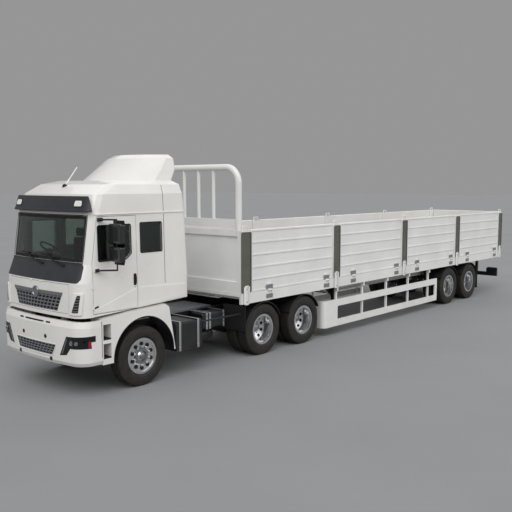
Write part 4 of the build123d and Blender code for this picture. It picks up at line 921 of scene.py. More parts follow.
# ------------------------------------------------------------------ cab
@dataclass
class CabFront(Assembly):
    """The black panel, the screen's border, wipers, grille, badge boss and lamps on the front."""

    panel: tuple[Pair, ...] = ((-1.075, 1.912), (1.075, 1.912), (1.062, 2.226), (-1.062, 2.226))
    panel_thick: float = 0.007
    grille: tuple[Pair, ...] = ((-0.586, 1.436), (0.586, 1.436), (0.712, 1.723), (-0.712, 1.723))
    bar: tuple[Pair, ...] = ((-0.70, 1.686), (0.70, 1.686), (0.733, 1.744), (-0.733, 1.744))
    screen: tuple[Pair, ...] = ((-1.026, 2.239), (1.026, 2.239), (1.026, 2.981), (-1.026, 2.981))
    screen_border: float = 0.05
    badge_height: float = 1.705
    badge_radius: float = 0.092
    wipers: tuple[tuple[Point, Point], ...] = (((0.06, 2.17), (-0.44, 2.285)), ((0.64, 2.165), (0.20, 2.290)))
    visor_lamp: tuple[float, float, float, float] = (0.80, 0.975, 3.135, 3.225)

    def build(self) -> None:
        """Build every piece of the front."""
        self.screen_panel()
        self.upper_grille()
        self.badge_boss()
        self.screen_edge()
        self.wiper_arms()
        self.visor_lamps()
        self.corner_louvres()

    def screen_panel(self) -> None:
        """The bare black panel under the windscreen, with a trough for the wipers."""
        panel = Bench.wrap("screen_panel", "cab_shell", self.panel, (72, 10), 0.0005, self.panel_thick, corner=0.06)
        panel = Bench.sink(panel, lambda centre, normal: normal.y < -0.5 and centre.z > 2.16 and abs(centre.x) < 0.97,
                           0.012, 0.004)
        self.place(panel, "cab", Finish.DARK_PLASTIC)

    def upper_grille(self) -> None:
        """The slanted mesh in the flap's recess, on a black back that is painted shade for the space behind the mesh,
        with a bar over it.
        """
        # A black sheet on the recess paints the shade of the space behind the mesh.
        back = Bench.wrap("grille_painted_shade", "front_flap", self.grille, (24, 4), 0.0003, 0.001)
        self.place(back, "front_flap", Finish.JOINT_AND_SHADE_BLACK)
        onto = Bench.on_surface("front_flap", lift=0.003)
        mesh = Bench.lattice(Bench.sheet("grille_mesh", self.grille, (13, 5), onto, slant=0.07), 0.010, 0.009, -BACK)
        self.place(Bench.round_off(mesh, 0.002, 2), "front_flap", Finish.GREY_TRIM)
        level = self.bar[2][1] + 0.03
        sheet = Bench.sheet("grille_bar", self.bar, (40, 3), lambda x, z: Vector((x, onto(x, level).y + 0.004, z)))
        bar = Bench.round_off(Bench.wall(sheet, 0.016, -BACK), 0.005)
        self.place(bar, "front_flap", Finish.SATIN)

    def badge_boss(self) -> None:
        """The round boss on the grille's bar, left blank."""
        met, normal = Bench.touch("front_flap", (0.0, -OUTSIDE, self.badge_height + 0.07), BACK)
        centre = Vector((0.0, met.y - 0.004, self.badge_height))
        r = self.badge_radius
        profile = ((0.0, 0.0), (0.016, 0.0), (0.016, r * 0.35), (0.014, r * 0.62), (0.013, r * 0.72),
                   (0.022, r * 0.8), (0.023, r * 0.92), (0.016, r), (0.0, r))
        boss = Bench.lathe("badge_boss", profile, centre, normal, 64)
        self.place(boss, "front_flap", Finish.SATIN, "dark_plastic", 30.0)

    def screen_edge(self) -> None:
        """The windscreen's fired black border and its rubber."""
        low, high = self.screen[0][1] + self.screen_border, self.screen[2][1] - self.screen_border
        half = self.screen[1][0] - self.screen_border
        sheet = Bench.sheet("screen_border", self.screen, (84, 30), Bench.on_surface("windscreen", lift=0.0008))
        border = Bench.carve(sheet, lambda centre, normal: abs(centre.x) < half and low < centre.z < high, 0.002, -BACK)
        self.place(border, "cab", Finish.SEAL, "glass")
        onto = Bench.on_surface("cab_shell")
        edge = 0.012
        left, right = self.screen[0][0] - edge, self.screen[1][0] + edge
        base, top = self.screen[0][1] - edge, self.screen[2][1] + edge
        line = [onto(left + (right - left) * i / 24, base) for i in range(25)]
        line += [onto(right, base + (top - base) * i / 8) for i in range(1, 8)]
        line += [onto(right - (right - left) * i / 24, top) for i in range(25)]
        line += [onto(left, top - (top - base) * i / 8) for i in range(1, 8)]
        self.place(Bench.tube("screen_rubber", line, 0.007, closed=True), "cab", Finish.SEAL, "glass")

    def wiper_arms(self) -> None:
        """Two parked wipers: a pivot, a tapering arm and a blade on the glass."""
        screen = Bench.on_surface("windscreen", lift=0.012)
        shell = Bench.on_surface("cab_shell", lift=0.012)
        for index, (pivot, tip) in enumerate(self.wipers, 1):
            foot = shell(*pivot)
            end = screen(*tip)
            lifted = end + Vector((0.0, -0.022, 0.0))
            boss = Bench.rod("wiper", foot + BACK * 0.02, foot - BACK * 0.03, 0.019, 20, 0.014, edge=0.003)
            arm = Bench.tube("arm", [foot - BACK * 0.022, foot.lerp(lifted, 0.3) - BACK * 0.03, lifted], 0.012,
                             corner=0.08)
            start = screen(tip[0] - 0.02, tip[1] + 0.03)
            spine = [screen(tip[0] + 0.26 * (i / 6 * 2 - 1), tip[1] + 0.035 - 0.045 * i / 6) for i in range(7)]
            blade = Bench.tube("blade", spine, 0.013)
            clip = Bench.block("clip", start - Vector((0.03, 0.016, 0.014)), start + Vector((0.03, 0.008, 0.014)),
                               0.003)
            wiper = Bench.joined(f"wiper_{index}", [boss, arm, blade, clip])
            self.place(wiper, "cab", Finish.BLACK_PLASTIC)

    def visor_lamps(self) -> None:
        """A pale marker lamp near each end of the visor, and the visor's pressed lower lip."""
        near, far, low, high = self.visor_lamp
        corners = ((near, low), (far, low), (far - 0.01, high), (near + 0.005, high))
        frame_corners = [(x + dx, z + dz) for (x, z), dx, dz in zip(corners, (-0.012, 0.012, 0.012, -0.012),
                                                                    (-0.012, -0.012, 0.012, 0.012))]
        bezel = Bench.wrap("visor_lamp_bezel", "sun_visor", frame_corners, (12, 6), 0.0005, 0.006, corner=0.02)
        self.both(Bench.round_off(bezel, 0.002, 2), "cab", Finish.BLACK_PLASTIC)
        lens = Bench.wrap("visor_lamp", "sun_visor", corners, (12, 6), 0.004, 0.008, corner=0.018)
        self.both(Bench.round_off(lens, 0.003, 2), "cab", Finish.OPAL, "lamp_glass")
        lip = Bench.wrap("visor_lip", "sun_visor", ((-1.12, 3.052), (1.12, 3.052), (1.12, 3.085), (-1.12, 3.085)),
                         (60, 2), 0.0005, 0.008)
        self.place(Bench.round_off(lip, 0.003, 2), "cab", Finish.DARK_PLASTIC)

    def corner_louvres(self) -> None:
        """The raised housing on each front corner, with a slatted opening whose dark is a black face of painted shade
        behind the slats.
        """
        outline = ((0.892, 1.395), (1.10, 1.395), (1.115, 1.755), (0.965, 1.755))
        house = Bench.wrap("corner_housing", "cab_shell", outline, (14, 20), 0.0003, 0.022, corner=0.012)
        self.both(Bench.round_off(house, 0.006), "cab", Finish.CAB_PAINT, "cab_paint")
        hole = ((0.96, 1.435), (1.06, 1.435), (1.085, 1.72), (1.045, 1.72))
        # The opening is not cut: a black face paints the shade behind the slats.
        face = Bench.wrap("corner_louvre", "cab_shell", hole, (8, 16), 0.021, 0.002, corner=0.006)
        self.both(face, "cab", Finish.JOINT_AND_SHADE_BLACK)
        slats = []
        for index in range(6):
            base = 1.450 + index * 0.045
            lean = (base - 1.435) / 0.285
            low, high = 0.965 + 0.082 * lean, 1.057 + 0.023 * lean
            row = ((low, base), (high, base + 0.006), (high, base + 0.02), (low, base + 0.014))
            slats.append(Bench.wrap("slat", "cab_shell", row, (8, 2), 0.023, 0.005))
        self.both(Bench.joined("corner_slats", slats), "cab", Finish.GREY_TRIM)


@dataclass
class CabSides(Assembly):
    """Window rubbers, handles, mirrors, the lower pressing and the joints on both sides."""

    door_window: tuple[Pair, ...] = ((-0.88, 2.25), (-0.33, 2.25), (-0.215, 2.34), (-0.215, 2.82), (-0.88, 2.82))
    rear_window: tuple[Pair, ...] = ((0.0, 2.335), (0.468, 2.335), (0.468, 2.835), (0.0, 2.835))
    doors: tuple[str, str] = ("door_left", "door_right")
    skin: float = 1.19
    mirror_x: float = 1.37
    mirror_back: float = -0.635
    heads: tuple[tuple[float, float, float], ...] = ((0.165, 2.53, 2.86), (0.15, 2.24, 2.49))
    feet: tuple[Pair, ...] = ((-0.85, 2.925), (-0.945, 2.105))

    def build(self) -> None:
        """Build every piece of the sides."""
        self.rubber("door_window_rubber", "door_left", self.door_window, self.doors)
        self.rubber("rear_window_rubber", "cab_shell", self.rear_window, "cab")
        self.lower_pressing()
        self.joints()
        self.handle()
        self.mirrors()
        self.mirror_arms()
        self.antenna()

    def panel(self, name: str, node: str, corners: Iterable[Pair], cells: tuple[int, int], lift: float,
              thick: float, corner: float = 0.0) -> Piece:
        """A panel on the side skin, from (y, z) corners behind the axle, with wrap's other arguments."""
        return Bench.wrap(name, node, behind_axle(corners), cells, lift, thick, -LEFT, self.skin, corner)

    def rubber(self, name: str, node: str, window: Sequence[Pair],
               bodies: str | tuple[str, str]) -> None:
        """The black moulding round a side window."""
        onto = Bench.on_surface(node, -LEFT, 0.0, self.skin)
        centre = Vector((sum(y for y, _ in window) / len(window), sum(z for _, z in window) / len(window)))
        line = []
        for index, corner in enumerate(window):
            after = window[(index + 1) % len(window)]
            for share in (0.03, 0.08, 0.5, 0.92, 0.97):
                y, z = (a + (b - a) * share for a, b in zip(corner, after))
                away = Vector((y, z)) - centre
                line.append(onto(FRONT_AXLE.y + y + 0.006 * (1 if away.x > 0 else -1),
                                 z + 0.006 * (1 if away.y > 0 else -1)))
        self.both(Bench.tube(name, line, 0.010, closed=True), bodies, Finish.SEAL, "glass")

    def lower_pressing(self) -> None:
        """The skin pressed out below the crease, on the door and on the quarter behind it."""
        door = ((-0.995, 1.402), (-0.108, 1.402), (-0.108, 1.745), (-0.995, 1.455))
        piece = self.panel("door_pressing", "door_left", door, (24, 10), 0.0002, 0.007)
        self.both(Bench.round_off(piece, 0.005), self.doors, Finish.CAB_PAINT, "cab_paint")
        quarter = ((-0.072, 1.408), (1.02, 1.452), (1.02, 1.706), (-0.072, 1.750))
        piece = self.panel("quarter_pressing", "cab_shell", quarter, (24, 8), 0.0002, 0.007)
        self.both(Bench.round_off(piece, 0.005), "cab", Finish.CAB_PAINT, "cab_paint")

    def joints(self) -> None:
        """The upright joint behind the door, carried over the roof's side, the drip rail and the door's vent."""
        upright = ((0.525, 1.76), (0.533, 1.76), (0.533, 2.98), (0.525, 2.98))
        roof = ((0.525, 3.02), (0.533, 3.02), (0.533, 3.50), (0.525, 3.50))
        joint = Bench.joined("quarter_joint", [
            self.panel("quarter_joint", "cab_shell", upright, (2, 16), 0.0002, 0.0012),
            self.panel("roof_joint", "cab_shell", roof, (2, 24), 0.0002, 0.0012)])
        self.both(joint, "cab", Finish.JOINT_AND_SHADE_BLACK)
        rail = ((-0.93, 2.996), (1.0, 2.996), (1.0, 3.016), (-0.93, 3.016))
        drip = self.panel("roof_drip_rail", "cab_shell", rail, (40, 2), 0.0002, 0.012)
        self.both(Bench.round_off(drip, 0.004), "cab", Finish.CAB_PAINT, "cab_paint")
        slit = ((-0.985, 1.478), (-0.905, 1.495), (-0.905, 1.525), (-0.985, 1.508))
        vent = self.panel("door_vent", "door_left", slit, (6, 3), 0.0005, 0.004)
        self.both(Bench.round_off(vent, 0.0015, 2), self.doors, Finish.BLACK_PLASTIC)

    def handle(self) -> None:
        """The upright pull handle at the door's rear edge, over a shallow cup."""
        onto = Bench.on_surface("door_left", -LEFT, 0.0, self.skin)
        outline = ((-0.175, 1.785), (-0.112, 1.785), (-0.112, 1.985), (-0.175, 1.985))
        cup = self.panel("handle_cup", "door_left", outline, (6, 12), 0.0005, 0.002, 0.015)
        self.both(cup, self.doors, Finish.BLACK_PLASTIC)
        ends = [onto(FRONT_AXLE.y - 0.143, z) for z in (1.81, 1.96)]
        out = LEFT * 0.032
        grip = Bench.tube("door_handle", [ends[0], ends[0] + out + UP * 0.02, ends[1] + out - UP * 0.02, ends[1]],
                          0.011, corner=0.025)
        self.both(grip, self.doors, Finish.BLACK_PLASTIC)
        lock = Bench.rod("door_lock", ends[0] - UP * 0.05, ends[0] - UP * 0.05 + LEFT * 0.006, 0.012, 20, edge=0.002)
        self.both(lock, self.doors, Finish.CHROME)

    def mirrors(self) -> None:
        """Mirror glass in each head, a rim round it and a rib over the head's back."""
        y = FRONT_AXLE.y + self.mirror_back
        for number, (half, low, high) in enumerate(self.heads, 1):
            x = self.mirror_x
            edge = 0.02
            glass = Bench.block(f"mirror_glass_{number}", (x - half + edge, y - 0.004, low + edge),
                                (x + half - edge, y + 0.003, high - edge), 0.003)
            self.both(glass, self.doors, Finish.MIRROR, "glass")
            rim = Bench.block(f"mirror_rim_{number}", (x - half + 0.005, y - 0.01, low + 0.005),
                              (x + half - 0.005, y + 0.006, high - 0.005), 0.004)
            rim = Bench.sink(rim, lambda centre, normal: normal.y > 0.9 and abs(centre.x - x) < 0.02, 0.012, 0.008)
            self.both(rim, self.doors, Finish.BLACK_PLASTIC)
            back = y - 0.095
            rib = Bench.block(f"mirror_rib_{number}", (x - half * 0.5, back - 0.005, low + 0.05),
                              (x + half * 0.5, back + 0.005, high - 0.05), 0.004)
            self.both(rib, self.doors, Finish.BLACK_PLASTIC)

    def mirror_arms(self) -> None:
        """A black foot on the door and a sleeve over each arm."""
        onto = Bench.on_surface("door_left", -LEFT, 0.0, self.skin)
        reach = FRONT_AXLE.y + self.mirror_back - 0.045
        for number, (foot_y, z) in enumerate(self.feet, 1):
            y = FRONT_AXLE.y + foot_y
            skin = onto(y + 0.06, z).x
            foot = Bench.block("foot", (skin - 0.004, y - 0.034, z - 0.030), (1.182, y + 0.049, z + 0.030), 0.008)
            arm = Bench.tube("arm", [(1.17, y + 0.01, z), (self.mirror_x, reach, z)], 0.0145)
            piece = Bench.joined(f"mirror_arm_{number}", [foot, arm])
            self.both(piece, self.doors, Finish.BLACK_PLASTIC)

    def antenna(self) -> None:
        """The whip aerial on the roof's middle, on its rubber foot."""
        met, normal = Bench.touch("cab_shell", from_axle(0.0, -0.72, 6.0), -UP)
        lean = Vector((0.0, 0.62, 0.78))
        foot = Bench.rod("aerial_foot", met - normal * 0.005, met + normal * 0.035, 0.05, 28, 0.022, edge=0.004)
        self.place(foot, "cab", Finish.SEAL)
        whip = Bench.tube("aerial_whip", [met, met + lean * 0.2, met + lean * 0.42], 0.009)
        tip = Bench.rod("tip", met + lean * 0.05, met + lean * 0.16, 0.016, 20, 0.010, edge=0.002)
        self.place(Bench.joined("aerial_whip", [whip, tip]), "cab", Finish.OPAL)


@dataclass
class CabInside(Assembly):
    """Seats and bunk as upholstery, and the instruments on the dashboard."""

    seat_x: float = 0.69

    def build(self) -> None:
        """Build what the CAD's plain seats stand for, then the dashboard's dials."""
        for side in Side:
            self.seat(side)
        self.bunk()
        self.instruments()

    def pad(self, name: str, low: Point, high: Point, channels: int, finish: Finish,
            across: int = 0) -> None:
        """A stuffed pad: crowned, drawn in at its sides, with sewn channels.

        Args:
            name: the piece's name.
            low: its lowest corner.
            high: its highest corner.
            channels: how many sewn lines run over it.
            finish: its cloth.
            across: the axis that the channels follow one another on.
        """
        pad = Bench.divided(Bench.block(name, low, high), 18)
        centre = (Vector(low) + Vector(high)) / 2
        half = (Vector(high) - Vector(low)) / 2
        thin = min(range(3), key=lambda axis: half[axis])
        for vertex in pad.data.vertices:
            unit = [(vertex.co[i] - centre[i]) / half[i] for i in range(3)]
            others = [i for i in range(3) if i != thin]
            round_edge = 1 - 0.5 * max(abs(unit[i]) for i in others) ** 8
            crown = 1 - 0.22 * (unit[others[0]] ** 2 + unit[others[1]] ** 2) / 2
            seam = min(abs((unit[across] + 1) / 2 * channels - k) for k in range(1, channels)) if channels > 1 else 1
            sewn = 1 - 0.22 * math.exp(-(seam * 7) ** 2)
            vertex.co[thin] = centre[thin] + half[thin] * unit[thin] * round_edge * crown * sewn
            for i in others:
                pull = 1 - 0.05 * unit[others[1 - others.index(i)]] ** 2 - 0.04 * abs(unit[thin]) ** 2
                vertex.co[i] = centre[i] + half[i] * unit[i] * pull
        pad = Bench.modify(pad, "SUBSURF", levels=1, render_levels=1)
        self.place(pad, "cab", finish, "seat_cloth", 80.0)

    def seat(self, side: Side) -> None:
        """One air-sprung seat: bellows base, cushion, back with bolsters, head rest."""
        x = side.sign * self.seat_x
        word = side.word
        base = Bench.block(f"seat_base_{word}", from_axle(x - 0.19, -0.33, 1.531),
                           from_axle(x + 0.19, 0.05, 1.70), 0.02)
        folds = []
        for index in range(4):
            reach = 0.165 if index % 2 else 0.185
            z = 1.70 + index * 0.036
            folds.append(Bench.block("fold", from_axle(x - reach, -0.30, z),
                                     from_axle(x + reach, 0.03, z + 0.036), 0.012))
        self.place(Bench.joined(f"seat_base_{word}", [base] + folds), "cab", Finish.BLACK_PLASTIC, "interior")
        self.pad(f"seat_cushion_{word}", from_axle(x - 0.24, -0.41, 1.85), from_axle(x + 0.24, 0.10, 1.985), 4,
                 Finish.SEAT_CLOTH)
        self.pad(f"seat_back_{word}", from_axle(x - 0.235, 0.02, 1.985), from_axle(x + 0.235, 0.135, 2.50), 5,
                 Finish.SEAT_CLOTH, 2)
        self.pad(f"head_rest_{word}", from_axle(x - 0.14, 0.035, 2.515), from_axle(x + 0.14, 0.125, 2.675), 1,
                 Finish.SEAT_CLOTH)

    def bunk(self) -> None:
        """The bunk's board and its quilted mattress."""
        board = Bench.block("bunk_board", from_axle(-1.04, 0.35, 1.80), from_axle(1.04, 0.98, 1.90), 0.015)
        self.place(board, "cab", Finish.INTERIOR, "interior", instead_of=("cab_seats",))
        self.pad("bunk_mattress", from_axle(-1.04, 0.345, 1.90), from_axle(1.04, 0.985, 2.03), 9, Finish.MATTRESS)

    def instruments(self) -> None:
        """The hood over the dials, two dials and the row of switches, blank."""
        x, y, z = -0.5, FRONT_AXLE.y - 0.80, 2.18
        half = 0.24
        side = [(x - half, y - 0.16, z), (x - half, y - 0.02, z), (x - half, y - 0.05, z + 0.09),
                (x - half, y - 0.16, z + 0.07)]
        hood = Bench.plate("dial_hood", side, (2 * half, 0.0, 0.0), 0.012)
        self.place(hood, "cab", Finish.INTERIOR, "interior")
        for index, across in enumerate((-0.1, 0.1), 1):
            centre = Vector((x + across, y - 0.028, z + 0.045))
            dial = Bench.lathe(f"dial_{index}", ((-0.01, 0.0), (0.004, 0.0), (0.004, 0.034), (0.01, 0.037),
                                                 (0.01, 0.042), (-0.01, 0.042)), centre, (0.0, 0.94, 0.33), 32)
            self.place(dial, "cab", Finish.SMOKED, "interior")
        keys = [Bench.block("key", (k * 0.045, y + 0.0005, 2.06), (k * 0.045 + 0.035, y + 0.008, 2.11), 0.003)
                for k in range(8)]
        self.place(Bench.joined("switch_row", keys), "cab", Finish.BLACK_PLASTIC, "interior")


# ------------------------------------------------------------------ bumper and fenders
@dataclass
class Bumper(Assembly):
    """The lower mesh, the slots and plugs, the lamps' faces, the end seam and the step treads."""

    nose: float = -1.398
    bow: float = 0.108
    half: float = 1.215
    mesh: tuple[Pair, ...] = ((-0.497, 0.699), (0.497, 0.699), (0.597, 0.873), (-0.597, 0.873))
    eyes: tuple[float, ...] = (0.985, 1.075)
    eye_height: float = 0.95
    pocket: Pair = (0.65, 1.10)
    lamp_lift: float = 0.0015
    holes: tuple[Pair, ...] = ((0.332, 0.989), (0.47, 0.632))

    def build(self) -> None:
        """Build every piece of the bumper."""
        self.lower_mesh()
        self.slot_and_holes()
        self.lamps()
        self.step_treads()
        self.end_seam()

    def face(self, across: float, up: float, inside: float = 0.0) -> Vector:
        """The place on the bumper's bowed face, or inside it by a distance."""
        return from_axle(across, self.nose + self.bow * (across / self.half) ** 2 + inside, up)

    def lower_mesh(self) -> None:
        """The slanted mesh in the bumper's opening, before a black sheet that is painted shade for the space behind it.
        """
        sheet = Bench.sheet("bumper_mesh", self.mesh, (12, 4), lambda x, z: self.face(x, z, 0.012), slant=0.07)
        mesh = Bench.round_off(Bench.lattice(sheet, 0.009, 0.010, -BACK), 0.002, 2)
        self.place(mesh, "tractor", Finish.GREY_TRIM)
        # A black sheet behind the mesh paints the shade inside the opening.
        sheet = Bench.sheet("bumper_mesh_painted_shade", self.mesh, (18, 2), lambda x, z: self.face(x, z, 0.03))
        self.place(Bench.wall(sheet, 0.004, -BACK), "tractor", Finish.JOINT_AND_SHADE_BLACK)
        lip = 0.014
        outer = [(x + lip * (1 if x > 0 else -1), z + lip * (1 if z > 0.8 else -1)) for x, z in self.mesh]
        line = []
        for (x0, z0), (x1, z1) in zip(outer, outer[1:] + outer[:1]):
            line += [self.face(x0 + (x1 - x0) * i / 10, z0 + (z1 - z0) * i / 10) for i in range(10)]
        self.place(Bench.tube("bumper_mesh_lip", line, 0.007, closed=True), "tractor", Finish.FRONT_PLASTIC,
                   "front_plastic")

    def slot_and_holes(self) -> None:
        """Three slots near the top, drawn as flat black patches of painted shade, and two round plugs on each side."""
        # The slots are not cut: flat black patches paint the shade inside them.
        slots = []
        for left, right in ((-0.46, -0.34), (-0.29, 0.29), (0.34, 0.46)):
            corners = ((left, 1.218), (right, 1.218), (right, 1.244), (left, 1.244))
            slots.append(Bench.wrap("slot", "front_bumper", corners, (12, 2), 0.0003, 0.0015, corner=0.008))
        self.place(Bench.joined("bumper_slot_shade", slots), "tractor", Finish.JOINT_AND_SHADE_BLACK)
        for number, (x, z) in enumerate(self.holes, 1):
            met, normal = Bench.touch("front_bumper", (x, -OUTSIDE, z), BACK)
            profile = ((-0.004, 0.0), (0.001, 0.0), (0.001, 0.022), (0.005, 0.027), (0.004, 0.033), (-0.004, 0.034))
            plug = Bench.lathe(f"towing_plug_{number}", profile, met, normal, 32)
            self.both(plug, "tractor", Finish.BLACK_PLASTIC)

    def lamps(self) -> None:
        """The smoked face of each lamp with its leg, two projectors and a marker at the corner."""
        faces = (((0.70, 0.722), (0.862, 0.742), (0.955, 0.862), (0.862, 1.035)),
                 ((0.950, 0.855), (1.188, 0.862), (1.188, 1.050), (0.858, 1.040)))
        panels = [Bench.sheet("lamp_face", corners, (16, 10), self.over_lamp) for corners in faces]
        side = behind_axle(((-1.238, 0.862), (-1.10, 0.862), (-1.118, 1.050), (-1.238, 1.050)))
        panels = [Bench.wall(panel, 0.003, -BACK) for panel in panels]
        panels.append(Bench.wrap("lamp_face", "front_bumper", side, (8, 6), 0.0008, 0.003, -LEFT))
        face = Bench.joined("lamp_face", panels)
        self.both(face, "tractor", Finish.SMOKED, "lamp_glass", 50.0)
        for number, x in enumerate(self.eyes, 1):
            met = self.over_lamp(x, self.eye_height)
            normal = Vector((0.45, -1.0, 0.0)).normalized()
            r = 0.046 - 0.006 * number
            profile = ((-0.004, 0.0), (0.0105, 0.0), (0.009, r * 0.45), (0.005, r * 0.7), (0.006, r * 0.84),
                       (0.0085, r * 0.9), (0.0085, r * 0.98), (-0.004, r))
            eye = Bench.lathe(f"lamp_projector_{number}", profile, met, normal, 40)
            self.both(eye, "tractor", Finish.SATIN, "lamp_glass", 30.0)
        strip = Bench.sheet("lamp_strip", ((0.745, 0.752), (0.775, 0.756), (0.892, 1.012), (0.872, 1.012)), (3, 10),
                            lambda x, z: self.over_lamp(x, z) - BACK * 0.003)
        self.both(Bench.wall(strip, 0.002, -BACK), "tractor", Finish.SATIN, "lamp_glass")
        mark = behind_axle(((-1.155, 0.885), (-1.112, 0.885), (-1.125, 1.03), (-1.155, 1.03)))
        piece = Bench.wrap("lamp_side_marker", "front_bumper", mark, (4, 6), 0.004, 0.002, -LEFT)
        self.both(piece, "tractor", Finish.RED, "lamp_glass")

    def over_lamp(self, across: float, up: float) -> Vector:
        """The place just over the bumper's skin, carried across the lamp's pocket."""
        below, above = (Bench.touch("front_bumper", (across, -OUTSIDE, z), BACK)[0] for z in self.pocket)
        share = (up - self.pocket[0]) / (self.pocket[1] - self.pocket[0])
        return Vector((across, below.y + (above.y - below.y) * share - self.lamp_lift, up))

    def end_seam(self) -> None:
        """The seam round each of the bumper's ends."""
        corners = behind_axle(((-0.905, 0.60), (-0.898, 0.60), (-0.898, 1.27), (-0.905, 1.27)))
        seam = Bench.wrap("bumper_end_seam", "front_bumper", corners, (2, 8), 0.0002, 0.0012, -LEFT)
        self.both(seam, "tractor", Finish.JOINT_AND_SHADE_BLACK)

    def step_treads(self) -> None:
        """Black open treads on the floor of both entry steps."""
        for number, low in enumerate((0.64, 0.95), 1):
            tray = Bench.block(f"step_tread_{number}", from_axle(0.985, -0.868, low + 0.0005),
                               from_axle(1.213, -0.717, low + 0.024))
            tray = Bench.sink(Bench.divided(tray, 5), lambda centre, normal: normal.z > 0.9, 0.005, 0.012, each=True)
            self.both(tray, "tractor", Finish.BLACK_PLASTIC)
            wall = Bench.block(f"step_back_{number}", from_axle(0.9805, -0.870, low + 0.024),
                               from_axle(0.984, -0.715, low + 0.245))
            self.both(Bench.round_off(wall, 0.001, 1), "tractor", Finish.BLACK_PLASTIC)


# ------------------------------------------------------------------ wheels
@dataclass(frozen=True)
class Disc:
    """Where things sit on a wheel's disc, measured outwards from the middle of the outer tyre."""

    nut_seat: float
    nut_circle: float
    nut_finish: Finish
    cap_reach: float
    hole_seat: float
    hole_circle: float
    hole_lean: float


STEERED_DISC = Disc(0.0855, 0.1675, Finish.CHROME, 0.040, 0.0915, 0.215, 0.11)
TWIN_DISC = Disc(-0.1485, 0.136, Finish.BLACK_PLASTIC, 0.116, -0.1245, 0.222, 0.41)


